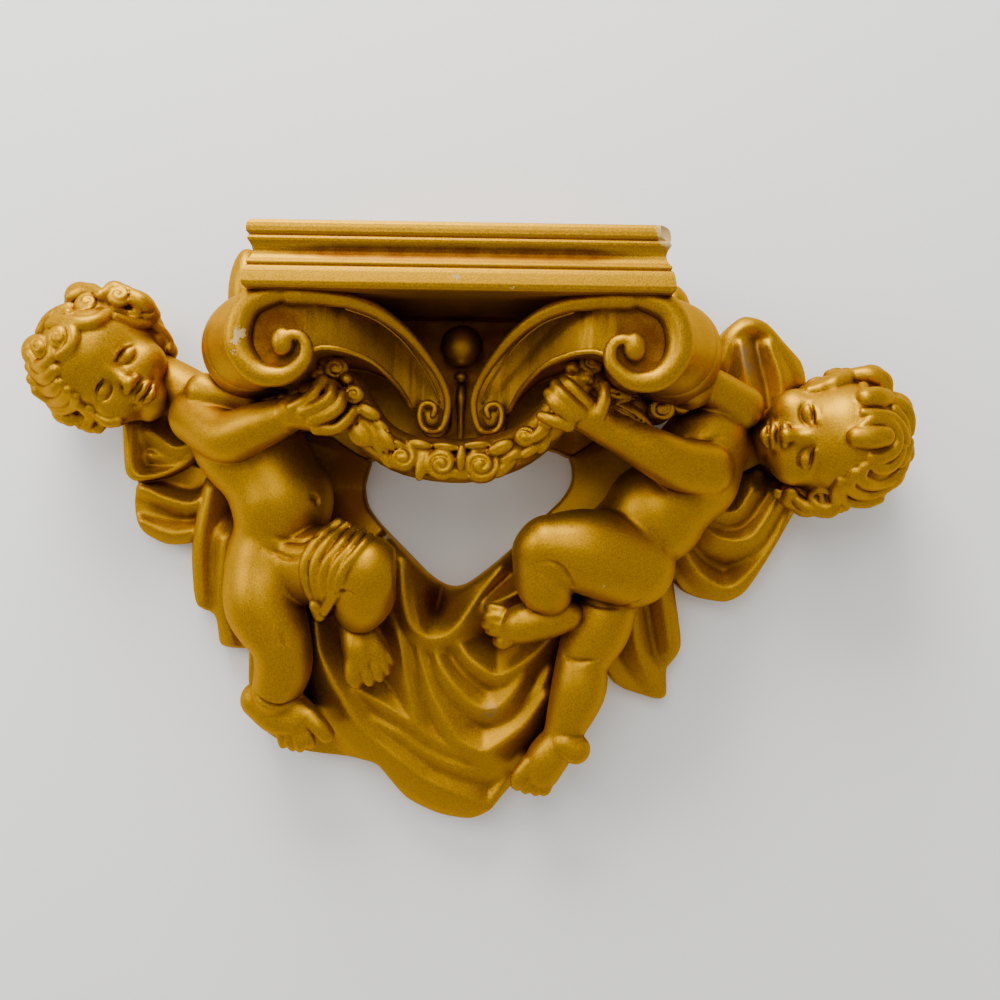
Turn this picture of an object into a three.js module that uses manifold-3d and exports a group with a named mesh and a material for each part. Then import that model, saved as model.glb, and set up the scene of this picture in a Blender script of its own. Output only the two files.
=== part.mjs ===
// A gilt plaster wall shelf, cast in one piece. A moulded shelf stands on two
// S-shaped scroll brackets with corner volutes. Two cherubs hold a garland of
// flowers under it, and hanging cloth joins them below, round an open heart shape.
// Millimetres. The wall is the plane Y = 0, the front faces -Y and +Z is up. The
// origin is the hanging point, on the back, in the middle of the shelf.
import * as THREE from 'three';
import { mergeVertices } from 'three/addons/utils/BufferGeometryUtils.js';
import Module from 'manifold-3d';

// Driving dimensions
const shelfWidth = 186; // across the lower band of the moulding
const shelfDepth = 120; // wall to the front of the moulding
const shelfThickness = 30;
const shelfTop = 44; // height of the top above the origin
const boardThickness = 30; // the back board that the brackets grow from
const voluteInset = 17; // eye of a volute to the end of the shelf
const voluteDrop = 22; // underside of the shelf to the eye of a volute
const voluteSetback = 8; // front of the shelf to the front of the volutes
const curlSpacing = 28; // between the two small curls at the foot of the brackets
const curlDepth = 68; // wall to the front of the small curls
const rollSwing = 23; // how far the roll behind a volute bows outwards
const rollLength = 104; // along the roll, from the front of its volute
const rimGroove = 4; // how far the channel of a bracket lies behind its rims
const ballRadius = 10.5;
const chipRadius = 7; // of the break at the shelf's top right corner
const chipInset = 2; // the middle of the break, in from the shelf's faces
const clothThickness = 13;
const clothBuried = 4; // how far the cloth is drawn past the wall, before the back is cut flat
const cherubHeight = 250; // crown to toe, if a cherub stood up straight
const poseUnits = 250; // the pose points count a cherub's height in this many steps
const hangWidth = 76; // the garland and the swag are drawn for volute eyes this far out
const hangTop = -8; // and at this height

// Worked out from them
const shelfUnderside = shelfTop - shelfThickness;
const eyeX = shelfWidth / 2 - voluteInset;
const eyeZ = shelfUnderside - voluteDrop;
const voluteDepth = shelfDepth - voluteSetback;
const curlX = curlSpacing / 2;
const figureScale = cherubHeight / poseUnits;
const hangSpread = eyeX / hangWidth;
const rowPitch = shelfThickness / 30; // the moulding's rows are drawn in thirtieths

const wasm = await Module();
wasm.setup();

// A closed three.js geometry as a solid that can be joined and cut.
function solid(geometry) {
  const bare = geometry.index ? geometry.toNonIndexed() : geometry;
  bare.deleteAttribute('normal');
  bare.deleteAttribute('uv');
  const merged = mergeVertices(bare, 1e-4);
  return new wasm.Manifold(new wasm.Mesh({
    numProp: 3,
    vertProperties: new Float32Array(merged.attributes.position.array),
    triVerts: new Uint32Array(merged.index.array),
  }));
}

// An egg-shaped lump. radii are across, along and deep; turn tips its long way from
// +Z towards +X, in degrees.
function lump(centre, radii, turn = 0, detail = 2) {
  const [across, along, deep] = radii;
  const egg = new THREE.IcosahedronGeometry(1, detail);
  egg.scale(across, deep, along);
  egg.rotateY(THREE.MathUtils.degToRad(turn));
  egg.translate(...centre);
  return solid(egg);
}

// A rounded bar bent through its joints, each [x, y, z, radius].
function limb(joints, sides = 6, perSpan = 2) {
  const line = new THREE.CatmullRomCurve3(
    joints.map(([x, y, z]) => new THREE.Vector3(x, y, z)), false, 'centripetal');
  const radii = joints.map((joint) => joint[3]);
  const spans = joints.length - 1;
  const steps = spans * perSpan;
  const bar = new THREE.CapsuleGeometry(1, 2, sides < 6 ? 1 : 2, sides, steps);
  const frames = [];
  let side = null;
  for (let i = 0; i <= steps; i += 1) {
    const along = line.getTangent(i / steps);
    side = side
      ? side.clone().addScaledVector(along, -side.dot(along)).normalize()
      : new THREE.Vector3(0, 1, 0).cross(along).normalize();
    frames.push({ along, side, up: along.clone().cross(side) });
  }
  const spot = bar.attributes.position;
  const vertex = new THREE.Vector3();
  for (let i = 0; i < spot.count; i += 1) {
    vertex.fromBufferAttribute(spot, i);
    const share = THREE.MathUtils.clamp((vertex.y + 1) / 2, 0, 1);
    const beyond = vertex.y - THREE.MathUtils.clamp(vertex.y, -1, 1);
    const frame = frames[Math.round(share * steps)];
    const low = Math.min(Math.floor(share * spans), spans - 1);
    const radius = THREE.MathUtils.lerp(radii[low], radii[low + 1], share * spans - low);
    const point = line.getPoint(share)
      .addScaledVector(frame.side, vertex.x * radius)
      .addScaledVector(frame.up, -vertex.z * radius)
      .addScaledVector(frame.along, beyond * radius);
    spot.setXYZ(i, point.x, point.y, point.z);
  }
  return solid(bar);
}

// A curl of hair or a petal of a rose: a bar bent two thirds of the way round.
function curl(centre, radius, hand = 1, start = 0) {
  return limb([0, 1, 2, 3].map((i) => {
    const angle = start + hand * i * Math.PI * 0.45;
    return [
      centre[0] + radius * 0.62 * Math.sin(angle),
      centre[1],
      centre[2] + radius * 0.62 * Math.cos(angle),
      radius * (0.5 - 0.04 * i),
    ];
  }), 4, 1);
}

// A plate cut to a closed outline of [x, z] points, from depth back to depth front.
function plate(outline, back, front) {
  const shape = new THREE.Shape(outline.map(([x, z]) => new THREE.Vector2(x, z)));
  const cut = new THREE.ExtrudeGeometry(shape, { depth: front - back, bevelEnabled: false });
  cut.rotateX(Math.PI / 2);
  cut.translate(0, -back, 0);
  return solid(cut);
}

// The moulded shelf: a four-sided turning, stretched to the plan of the shelf. Each
// row of the profile is how far it stands in from the lower band, and its height
// below the top.
function shelfSlab() {
  const profile = [
    [5, 0], [3, 1], [2.3, 3.5], [2.5, 6.5], [4, 7], [3.4, 7.6], [3.4, 9.4], [5, 10.2],
    [6.2, 13], [5.6, 16], [3.6, 17.2], [3, 18.4], [3, 19.6], [1, 20.4], [0, 24], [0.6, 30],
  ];
  const half = 50;
  const outline = [
    new THREE.Vector2(0, -shelfThickness),
    ...profile.map(([inset, drop]) => new THREE.Vector2(
      (half - inset) * Math.SQRT2, -drop * rowPitch)).reverse(),
    new THREE.Vector2(0, 0),
  ];
  const turned = new THREE.LatheGeometry(outline, 4);
  turned.rotateY(Math.PI / 4);
  turned.rotateX(Math.PI / 2);
  const spot = turned.attributes.position;
  const past = 10; // the slab runs into the wall plane and is cut there
  for (let i = 0; i < spot.count; i += 1) {
    const x = spot.getX(i);
    const y = spot.getY(i);
    const wide = Math.sign(Math.round(x)) * (shelfWidth / 2 - half);
    const deep = Math.sign(Math.round(y)) * ((shelfDepth + past) / 2 - half);
    spot.setXYZ(i, x + wide, y + deep - (shelfDepth - past) / 2, spot.getZ(i) + shelfTop);
  }
  return solid(turned);
}

// How far the front of a bracket stands off the wall, from its small curl (share 0)
// to the eye of its volute (share 1).
function bandDepth(share) {
  return THREE.MathUtils.lerp(curlDepth, voluteDepth, THREE.MathUtils.smoothstep(share, 0, 0.7));
}

// The rims of a bracket, as [share from curl to eye, height above the eye, radius].
const upperRim = [
  [0.98, 19, 5.2], [0.77, 19, 5], [0.55, 17, 4.4], [0.38, 14, 4], [0.22, 7, 3.4], [0.06, -3, 3],
  [-0.06, -15, 2.6], [-0.11, -25, 2.4], [-0.08, -34, 2.3], [0.01, -37, 2.1], [0.09, -32, 1.9],
  [0.10, -26, 1.7], [0.03, -23, 1.8],
];
const lowerRim = [
  [0.79, -2, 2], [0.58, -4, 2], [0.42, -8, 2], [0.27, -16, 2], [0.18, -24, 2], [0.14, -31, 1.6],
];
const upperRimEdge = 8; // rim points that bound the channel, before the curl turns in

// The volute, by quarter turns from its top outwards: reach of the roll and its radius.
const voluteTurns = [[22, 5.2], [19, 5.6], [14, 3.9], [9, 2.7], [7.8, 1.8], [6.5, 1.5], [5, 1.4]];

// One bracket: side is -1 on the left and 1 on the right.
function bracket(side) {
  const across = (share) => side * (curlX + share * (eyeX - curlX));
  const rim = ([share, z, radius]) => [across(share), -bandDepth(share) + Math.max(radius * 0.6, 2.6), eyeZ + z, radius];
  const roll = voluteTurns.map(([reach, radius], quarter) => [
    side * (eyeX + reach * Math.sin(quarter * Math.PI / 2)),
    -voluteDepth + radius * 0.6 + quarter * 0.3,
    eyeZ + reach * Math.cos(quarter * Math.PI / 2),
    radius,
  ]);
  const edge = [...upperRim.slice(0, upperRimEdge), ...lowerRim.slice(0, 5).reverse()];
  const channel = new THREE.ExtrudeGeometry(
    new THREE.Shape(edge.map(([share, z]) => new THREE.Vector2(across(share), eyeZ + z))),
    { depth: 1, bevelEnabled: false });
  channel.rotateX(Math.PI / 2);
  const spot = channel.attributes.position;
  for (let i = 0; i < spot.count; i += 1) {
    const share = (side * spot.getX(i) - curlX) / (eyeX - curlX);
    const front = bandDepth(share) - rimGroove;
    spot.setY(i, spot.getY(i) < -0.5 ? -front : -boardThickness / 2);
  }
  const drum = new THREE.LatheGeometry([
    [0, 16], [22, 16], [24.5, 44], [20.5, 49], [25, 54], [23, 73], [19.5, 77], [22.5, 82], [19, 96],
    [0, 96],
  ].map(([radius, depth]) => new THREE.Vector2(radius, depth)), 9);
  drum.rotateX(Math.PI);
  drum.rotateY(Math.PI / 9);
  const drumSpot = drum.attributes.position;
  for (let i = 0; i < drumSpot.count; i += 1) {
    const depth = -drumSpot.getY(i);
    const swing = rollSwing * Math.sin(
      Math.PI * THREE.MathUtils.clamp((voluteDepth - depth) / rollLength, 0, 1));
    drumSpot.setX(i, drumSpot.getX(i) + side * (eyeX + swing));
    drumSpot.setZ(i, drumSpot.getZ(i) + eyeZ + 4);
  }
  return [
    solid(channel),
    limb(upperRim.map(rim), 4, 1),
    limb(lowerRim.map(rim), 4, 1),
    limb(roll, 5, 2),
    lump([side * eyeX, -voluteDepth + 1, eyeZ], [4.8, 4.8, 4.5], 0, 1),
    lump([side * (curlX + 1), -curlDepth + 8, eyeZ - 30], [8, 8, 8], 0, 1),
    solid(drum),
  ];
}

// The board behind the brackets, with a ball, a bead and a stem between the scrolls.
function boardAndDrop() {
  const halfTop = eyeX + 20;
  const outline = [
    [-halfTop, shelfUnderside], [-halfTop, eyeZ - 10], [-eyeX, eyeZ - 40], [-52, eyeZ - 46],
    [52, eyeZ - 46], [eyeX, eyeZ - 40], [halfTop, eyeZ - 10], [halfTop, shelfUnderside],
  ];
  const bead = 3;
  const capZ = shelfTop - 10;
  return [
    // the worn rear ends of the brackets, beside the shelf
    lump([-shelfWidth / 2 - 17, -28, capZ - 12], [10, 15, 27], 0, 1),
    lump([shelfWidth / 2 + 8, -38, capZ - 16], [10, 10, 14], 0, 1),
    plate([...outline, [0, shelfUnderside + 4]], -5, boardThickness),
    lump([0, -boardThickness - 6, 0], [ballRadius, ballRadius, ballRadius]),
    lump([0, -boardThickness - 4, -ballRadius - bead - 1.5], [bead, bead * 1.2, bead * 2], 0, 0),
    limb([[0, -boardThickness - 1, -16, 2.2], [0, -boardThickness - 1, -21, 2.6],
      [0, -boardThickness, -28, 1.4], [0, -boardThickness, -42, 1.2]], 4, 1),
  ];
}

// The garland: its line from the left end, with roses and leaves along it.
const garlandLine = [
  [-96, -52, -27, 6], [-77, -58, -25, 7], [-59, -70, -23, 8.5], [-50, -76, -35, 8.5], [-38, -78, -49, 8.5],
  [-23, -74, -56, 9], [2, -72, -59, 9.5], [24, -74, -53, 9], [38, -78, -42, 8.5], [47, -78, -30, 8.5],
  [59, -72, -15, 8], [76, -60, -26, 7], [93, -54, -31, 7],
];
const roses = [
  [-24, -82, -56, 7], [-9, -82, -56, 8.5], [11, -82, -56, 9], [60, -80, -11, 6.5], [95, -60, -30, 6.5],
  [-57, -77, -19, 6], [28, -84, -51, 6], [-92, -57, -27, 4.5],
];
const leaves = [
  // centre, across, along, turn
  [[-43, -83, -45], 6, 9, -38], [[-39, -81, -35], 6, 10, -55], [[-32, -82, -47], 5, 9, -30],
  [[36, -84, -42], 6, 9, 48], [[39, -80, -49], 4, 8, 60], [[78, -62, -33], 5, 12, -55],
];

// A point of what hangs between the brackets: it spreads with the volutes and drops
// with the cherubs.
function hung([x, y, z, ...radius]) {
  return [
    x * hangSpread,
    y * figureScale,
    eyeZ + (z - hangTop) * figureScale,
    ...radius.map((size) => size * figureScale),
  ];
}

function garland() {
  const leafDepth = 4;
  const core = limb(garlandLine.map(hung), 6, 1);
  const flowers = roses.map((rose, i) => {
    const [x, y, z, radius] = hung(rose);
    return curl([x, y, z], radius, i % 2 ? 1 : -1, i);
  });
  const foliage = leaves.map(([centre, across, along, turn]) =>
    lump(hung(centre), [across, along, leafDepth].map((size) => size * figureScale), turn, 0));
  return [core, ...flowers, ...foliage];
}

// The pose of each cherub, drawn from the eye of the volute above it. A limb's
// joint is [x, y, z, radius]; a mass is [centre, across, along, deep, turn].
const leftCherub = {
  side: -1,
  head: { at: [-101, -38, -4], turn: -55.6, crown: 4, skull: 28 },
  curls: [
    [20, 24, 8], [31, 11, 7], [-12, 29, 7.5], [0, 25, 7], [10, 31, 7], [-19, 22, 7], [-25, 14, 7],
    [-30, 2, 6], [-28, -9, 5], [-21, -18, 4.5], [30, 0, 5.5], [32, -7, 4.5], [29, -16, 4],
  ],
  torso: [[-48, -36, -25, 17], [-32, -36, -39, 25], [-20, -37, -58, 25], [-13, -37, -76, 26], [-17, -35, -96, 21.5]],
  belly: [[-10, -42, -70], 22, 23, 22, -10],
  limbs: [
    [[-79, -34, -8, 13], [-63, -34, -15, 14], [-48, -34, -21, 18]],
    [[-53, -46, -32, 13], [-35, -60, -39, 12.5], [-18, -70, -36, 10.5], [-2, -78, -30, 8]],
    [[-50, -42, -18, 12], [-35, -52, -20, 10], [-21, -58, -23, 8]],
    [[-19, -38, -104, 21], [-19, -42, -120, 19.5], [-11, -44, -137, 15], [-10, -40, -151, 13.5], [-17, -32, -167, 10.5]],
    [[-3, -40, -100, 19], [19, -58, -99, 17.5], [34, -68, -100, 15.5]],
    [[33, -66, -106, 15], [27, -56, -119, 11.5], [26, -46, -132, 9.5]],
  ],
  feet: [
    { sole: [[-22, -26, -171, 10], [-12, -32, -180, 9.5], [-1, -34, -184, 7.5]],
      toes: [[8, -38, -180, 4.6], [4, -36, -186, 4], [-1, -34, -187, 3.6], [-9, -30, -189, 3.2]] },
    { sole: [[25, -44, -134, 9], [29, -46, -143, 8.5], [31, -46, -148, 7]],
      toes: [[25, -49, -151, 4.2], [30, -49, -153, 3.8], [34, -48, -152, 3.6], [40, -46, -147, 3.2]] },
  ],
  hand: {
    palm: [[1, -80, -30, 8.5], [6, -84, -27, 9]],
    fingers: [
      [[2, -86, -25, 3.2], [6, -90, -19, 2.9], [11, -88, -14, 2.4]],
      [[7, -90, -24, 3.3], [14, -94, -20, 3], [16, -90, -15, 2.5]],
      [[9, -91, -28, 3.3], [18, -94, -24, 3], [21, -91, -17, 2.6]],
      [[12, -90, -31, 3.2], [22, -93, -26, 3], [25, -90, -19, 2.5]],
      [[7, -86, -32, 3.6], [19, -90, -36, 3], [27, -88, -30, 2.6]],
    ],
  },
  wrap: [
    // the strips of cloth over the raised thigh
    [[4, -56, -102, 4.4], [11, -65, -91, 4.6], [23, -60, -82, 3.6]],
    [[7, -58, -108, 4.4], [16, -73, -95, 4.6], [29, -65, -85, 3.6]],
    [[10, -58, -116, 4.4], [21, -78, -100, 4.6], [35, -70, -88, 3.6]],
  ],
};
const rightCherub = {
  side: 1,
  head: { at: [101, -40, -33], turn: 91.7, crown: 10, skull: 31 },
  curls: [
    [-16, 26, 7.5], [1, 27, 9], [-25, 10, 7], [-26, 21, 7], [-12, 38, 6], [-2, 40, 6], [12, 37, 7],
    [22, 30, 7.5], [29, 18, 7.5], [30, 8, 6], [30, -10, 4.5], [26, -18, 4], [-8, 30, 6],
  ],
  torso: [[55, -38, -25, 18], [45, -42, -40, 25], [33, -44, -57, 25.5], [16, -44, -76, 24.5], [3, -42, -93, 24]],
  belly: [[6, -46, -95], 22, 23, 22, 30],
  limbs: [
    [[58, -38, -38, 18], [69, -36, -36, 15], [83, -36, -34, 14]],
    [[41, -58, -51, 13], [25, -70, -49, 13], [9, -78, -43, 11.5], [-10, -82, -34, 8]],
    [[60, -40, -21, 11], [45, -46, -16, 10.5], [31, -52, -12, 9.5]],
    [[7, -50, -97, 21], [-14, -60, -91, 20.5], [-34, -66, -88, 14.5]],
    [[-36, -64, -91, 13], [-35, -60, -106, 13], [-29, -52, -118, 9]],
    [[-4, -36, -111, 17], [-8, -38, -128, 16.5], [-15, -38, -145, 13], [-17, -38, -160, 13.5], [-23, -34, -179, 10]],
  ],
  feet: [
    { sole: [[-26, -50, -122, 9], [-39, -50, -125, 8], [-53, -46, -126, 6.5]],
      toes: [[-53, -46, -133, 3.9], [-56, -45, -130, 3.6], [-59, -44, -127, 3.4], [-60, -42, -121, 3.1]] },
    { sole: [[-19, -34, -187, 9.5], [-29, -32, -197, 9.5], [-40, -28, -204, 7.5]],
      toes: [[-46, -27, -207, 4.2], [-41, -27, -210, 3.8], [-36, -27, -210, 3.6], [-30, -27, -208, 3.4]] },
  ],
  hand: {
    palm: [[-13, -84, -32, 8.5], [-19, -87, -28, 9]],
    fingers: [
      [[-20, -93, -24, 3.3], [-25, -96, -18, 3], [-29, -92, -13, 2.5]],
      [[-23, -94, -27, 3.3], [-30, -96, -21, 3], [-33, -92, -16, 2.5]],
      [[-25, -93, -30, 3.2], [-33, -95, -25, 3], [-36, -91, -19, 2.5]],
      [[-24, -89, -32, 3.4], [-35, -92, -32, 3], [-40, -88, -28, 2.5]],
      [[-14, -86, -26, 3.6], [-11, -89, -20, 2.9], [-11, -86, -14, 2.5]],
    ],
  },
  wrap: [],
};

// A point of a cherub's pose, in the frame of the shelf.
function posed(cherub, [x, y, z, radius]) {
  return [
    cherub.side * eyeX + x * figureScale,
    y * figureScale,
    eyeZ + z * figureScale,
    radius === undefined ? undefined : radius * figureScale,
  ].slice(0, radius === undefined ? 3 : 4);
}

// How far a ray from the middle of the head goes before it leaves the last of the
// lumps that the head is built from. A lump is [centre, radii].
function lastExit(ray, lumps) {
  return Math.max(...lumps.map(([centre, radii]) => {
    const way = new THREE.Vector3(...ray.toArray().map((value, i) => value / radii[i]));
    const middle = new THREE.Vector3(...centre.map((value, i) => value / radii[i]));
    const toward = way.dot(middle);
    const room = toward * toward - way.lengthSq() * (middle.lengthSq() - 1);
    return room > 0 ? (toward + Math.sqrt(room)) / way.lengthSq() : 0;
  }));
}

// A child's head, drawn upright round the middle of the skull: [right, up, forward].
// Skull, cheeks, chin, ears and curls are one skin, with the nose and lips added.
function head(cherub) {
  const { at, turn, crown, skull } = cherub.head;
  const curls = cherub.curls.map(([right, up, radius]) => {
    const off = Math.hypot(right / 30, (up - crown) / (skull + 3));
    const inward = Math.min(1, 0.86 / off);
    const forward = 27 * Math.sqrt(Math.max(0, 1 - (off * inward) ** 2)) - 5;
    return [[right * inward, crown + (up - crown) * inward, forward], [radius, radius, radius]];
  });
  const lumps = [
    [[0, crown, 0], [27, skull, 26.5]],
    [[0, crown + 1, -5], [29, skull + 2, 26]],
    [[0, -12, 6], [21.5, 20, 19]],
    [[0, -29, 14], [7.5, 6, 7]],
    ...[-1, 1].flatMap((hand) => [
      [[hand * 11, -14, 14], [9.5, 9, 9.5]],
      [[hand * 25, -9, -2], [3.8, 6.5, 5]],
    ]),
    ...curls,
  ];
  const skin = new THREE.IcosahedronGeometry(1, 5);
  const ray = new THREE.Vector3();
  const spots = skin.attributes.position;
  for (let i = 0; i < spots.count; i += 1) {
    ray.fromBufferAttribute(spots, i).normalize();
    ray.multiplyScalar(lastExit(ray, lumps) * figureScale);
    spots.setXYZ(i, ray.x, -ray.z, ray.y);
  }
  const nose = limb([[0, -4, -23, 2.2], [0, -11, -26, 2.6], [0, -16, -28, 3.6]].map(
    ([x, z, y, radius]) => [x, y, z, radius].map((value) => value * figureScale)), 4, 1);
  const lips = lump([0, -22.5 * figureScale, -23.5 * figureScale], [5.4, 2.6, 3.6], 0, 0);
  const upright = solid(skin).add(nose).add(lips);
  const [x, y, z] = posed(cherub, at);
  return [upright.rotate([0, turn, 0]).translate([x, y, z])];
}

function cherub(pose) {
  const bar = (joints, sides, perSpan) =>
    limb(joints.map((joint) => posed(pose, joint)), sides, perSpan);
  const [middle, across, along, deep, turn] = pose.belly;
  const belly = lump(posed(pose, middle), [across, along, deep].map((r) => r * figureScale), turn, 1);
  const limbs = pose.limbs.map((joints) => bar(joints, 6, joints.length > 3 ? 1 : 2));
  const feet = pose.feet.flatMap(({ sole, toes }) => [bar(sole, 6, 1), bar(toes, 4, 1)]);
  const hand = [bar(pose.hand.palm, 5, 1), ...pose.hand.fingers.map((joints) => bar(joints, 4, 1))];
  const wrap = pose.wrap.map((joints) => bar(joints, 4, 1));
  return [...head(pose), bar(pose.torso, 9, 1), belly, ...limbs, ...feet, ...hand, ...wrap];
}

// The cloth: plates behind the figures, and the ridges of their folds. Outlines are
// [x, z] from the eye of the volute on their side, or from the middle for the swag.
const clothPlates = [
  { side: -1, front: 18, outline: [[-100, -26], [-100, -39], [-97, -57], [-91, -62],
    [-78, -58], [-65, -52], [-47, -33], [-60, -10], [-78, -13]] },
  { side: -1, front: 13, outline: [[-93, -59], [-94, -70], [-93, -79], [-88, -88],
    [-78, -93], [-64, -92], [-57, -75], [-54, -54], [-71, -49]] },
  { side: -1, front: 15, outline: [[-58, -59], [-63, -93], [-62, -116], [-60, -124],
    [-51, -128], [-50, -143], [-46, -146], [-31, -145], [-20, -120], [-29, -64]] },
  { side: 1, front: 20, outline: [[53, 15], [59, 25], [67, 30], [78, 28],
    [89, 17], [98, 8], [101, -5], [97, -23], [71, -39], [40, -24]] },
  { side: 1, front: 18, outline: [[98, -65], [84, -91], [70, -112], [60, -119],
    [47, -117], [36, -111], [26, -89], [41, -50], [92, -39]] },
  { side: 1, front: 14, outline: [[16, -87], [30, -97], [34, -117], [39, -140],
    [33, -149], [31, -153], [31, -167], [26, -170], [0, -159], [-4, -128]] },
];
const swagOutline = [
  [-50, -70], [-45, -85], [-32, -99], [-17, -114], [-6, -119], [3, -118], [19, -106],
  [35, -90], [50, -75], [57, -64], [54, -55], [57, -43], [70, -38], [112, -43],
  [117, -73], [97, -110], [72, -167], [52, -199], [29, -220], [21, -229], [15, -236],
  [5, -241], [-10, -238], [-28, -230], [-37, -216], [-43, -210], [-82, -207], [-102, -198],
  [-111, -175], [-109, -129], [-121, -77], [-111, -41], [-69, -38], [-53, -41], [-49, -53],
];
// Fold ridges of the swag between the cherubs, as [x, y, z, radius].
const swagFolds = [
  [[-32, -18, -109, 4], [-28, -24, -131, 5], [-18, -28, -145, 5], [-5, -26, -144, 5], [5, -22, -132, 4.5], [12, -16, -121, 3]],
  [[-14, -20, -149, 4], [-5, -24, -153, 5], [5, -26, -162, 5.5], [17, -26, -164, 5.5], [30, -24, -157, 5], [45, -18, -146, 4]],
  [[-16, -18, -152, 4], [-8, -22, -166, 5], [8, -25, -178, 5.5], [19, -25, -180, 5.5], [30, -22, -172, 5], [41, -18, -157, 4]],
  [[-25, -18, -147, 4], [-13, -22, -172, 5], [2, -25, -189, 5.5], [14, -25, -192, 5.5], [30, -22, -184, 5], [43, -16, -171, 4]],
  [[-35, -18, -127, 4], [-28, -22, -154, 4.5], [-21, -24, -176, 5], [-7, -26, -193, 5.5], [12, -26, -203, 5.5],
    [25, -22, -195, 5], [41, -16, -177, 4]],
  [[-55, -16, -174, 4], [-37, -22, -183, 5], [-17, -24, -197, 5.5], [1, -25, -210, 6], [18, -20, -215, 5], [31, -14, -203, 4]],
  [[-73, -16, -144, 4], [-67, -20, -166, 4.5], [-55, -22, -181, 5], [-39, -22, -197, 5.5], [-19, -22, -211, 6],
    [0, -20, -222, 6], [14, -16, -228, 5]],
  [[-74, -14, -174, 4], [-64, -16, -191, 5], [-49, -16, -201, 5], [-34, -16, -211, 5]],
];
// Fold ridges and hems of the cloth beside each cherub.
const sideFolds = [
  { side: -1, joints: [[-95, -19, -32, 4.5], [-92, -17, -58, 4.5], [-72, -17, -56, 4], [-59, -14, -44, 3]] },
  { side: -1, joints: [[-84, -17, -35, 4.5], [-70, -17, -44, 4.5], [-59, -16, -37, 4]] },
  { side: -1, joints: [[-90, -13, -64, 4], [-76, -14, -69, 4], [-64, -13, -72, 4], [-56, -12, -67, 3]] },
  { side: -1, joints: [[-89, -11, -82, 4], [-74, -12, -88, 4.5], [-61, -12, -86, 3]] },
  { side: -1, joints: [[-54, -15, -64, 4], [-59, -14, -92, 5.5], [-57, -13, -121, 6]] },
  { side: -1, joints: [[-46, -17, -90, 4], [-47, -14, -120, 5.5], [-42, -12, -141, 5.5]] },
  { side: -1, joints: [[-39, -15, -100, 4], [-37, -15, -120, 5], [-33, -13, -139, 5]] },
  { side: 1, joints: [[54, -20, 5, 4], [61, -20, 20, 5], [72, -19, 24, 4.5], [85, -17, 13, 4], [97, -14, -3, 4]] },
  { side: 1, joints: [[64, -22, 13, 4.5], [67, -22, -2, 5], [75, -20, -20, 5]] },
  { side: 1, joints: [[79, -20, 14, 4], [85, -21, -7, 5], [83, -18, -24, 4.5]] },
  { side: 1, joints: [[83, -18, -65, 4.5], [71, -20, -84, 5], [56, -19, -86, 5], [45, -16, -77, 4]] },
  { side: 1, joints: [[91, -16, -67, 4.5], [80, -17, -91, 5], [63, -16, -109, 5.5], [47, -16, -103, 5], [38, -14, -89, 4]] },
  { side: 1, joints: [[71, -20, -60, 5], [61, -21, -71, 5], [48, -20, -68, 5]] },
  { side: 1, joints: [[21, -16, -96, 4.5], [28, -15, -117, 5], [32, -13, -143, 5]] },
  { side: 1, joints: [[11, -15, -117, 4.5], [14, -14, -140, 5], [25, -9, -164, 4]] },
];

function cloth() {
  const sides = clothPlates.map(({ side, front, outline }) => plate(outline.map(([x, z]) => [
    side * eyeX + x * figureScale, eyeZ + z * figureScale]), -clothBuried, front * figureScale));
  const swag = plate(swagOutline.map(([x, z]) => {
    const [across, , height] = hung([x, 0, z]);
    return [across, height];
  }), -clothBuried, clothThickness + clothBuried);
  const ridges = swagFolds.map((joints) => limb(joints.map(hung), 4, 1));
  const hems = sideFolds.map(({ side, joints }) => limb(
    joints.map((joint) => posed({ side }, joint)), 4, 1));
  return [swag, ...sides, ...ridges, ...hems];
}

// Everything is one casting. Its back is cut flat at the wall, and the broken corner
// of the shelf is cut away.
const beyond = 5 * shelfWidth; // well past every side of the part
const wallCut = new THREE.BoxGeometry(beyond, beyond, beyond);
wallCut.translate(0, beyond / 2, 0);
const chip = new THREE.IcosahedronGeometry(chipRadius, 1);
chip.translate(shelfWidth / 2 + chipInset / 2, chipInset - shelfDepth, shelfTop - chipInset);
const whole = wasm.Manifold.union([
  shelfSlab(),
  ...boardAndDrop(),
  ...bracket(-1),
  ...bracket(1),
  ...garland(),
  ...cherub(leftCherub),
  ...cherub(rightCherub),
  ...cloth(),
]).subtract(solid(wallCut)).subtract(solid(chip));

const { vertProperties, triVerts } = whole.getMesh();
const casting = new THREE.BufferGeometry();
casting.setAttribute('position', new THREE.BufferAttribute(vertProperties, 3));
casting.setIndex(new THREE.BufferAttribute(triVerts, 1));
casting.computeVertexNormals();

const giltPlaster = new THREE.MeshStandardMaterial({ color: 0xb87d12, roughness: 0.45, metalness: 0.8 });
const part = new THREE.Group();
const shelf = new THREE.Mesh(casting, giltPlaster);
shelf.name = 'cherub_wall_shelf';
part.add(shelf);

export default part;
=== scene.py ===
"""A gilt plaster wall shelf carried by two cherubs, modelled as one casting.

The casting is worked like clay: forms are pressed onto a block, blended into each
other and carved, and the block's surface becomes the mesh. The moulded shelf is cut
and extruded from a slab. Lengths are in millimetres until a mesh is made.
"""

import logging
import math
from dataclasses import dataclass
from enum import Enum
from typing import Callable, Optional, Sequence

import bpy
import numpy as np
import openvdb
from mathutils import Matrix


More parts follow.
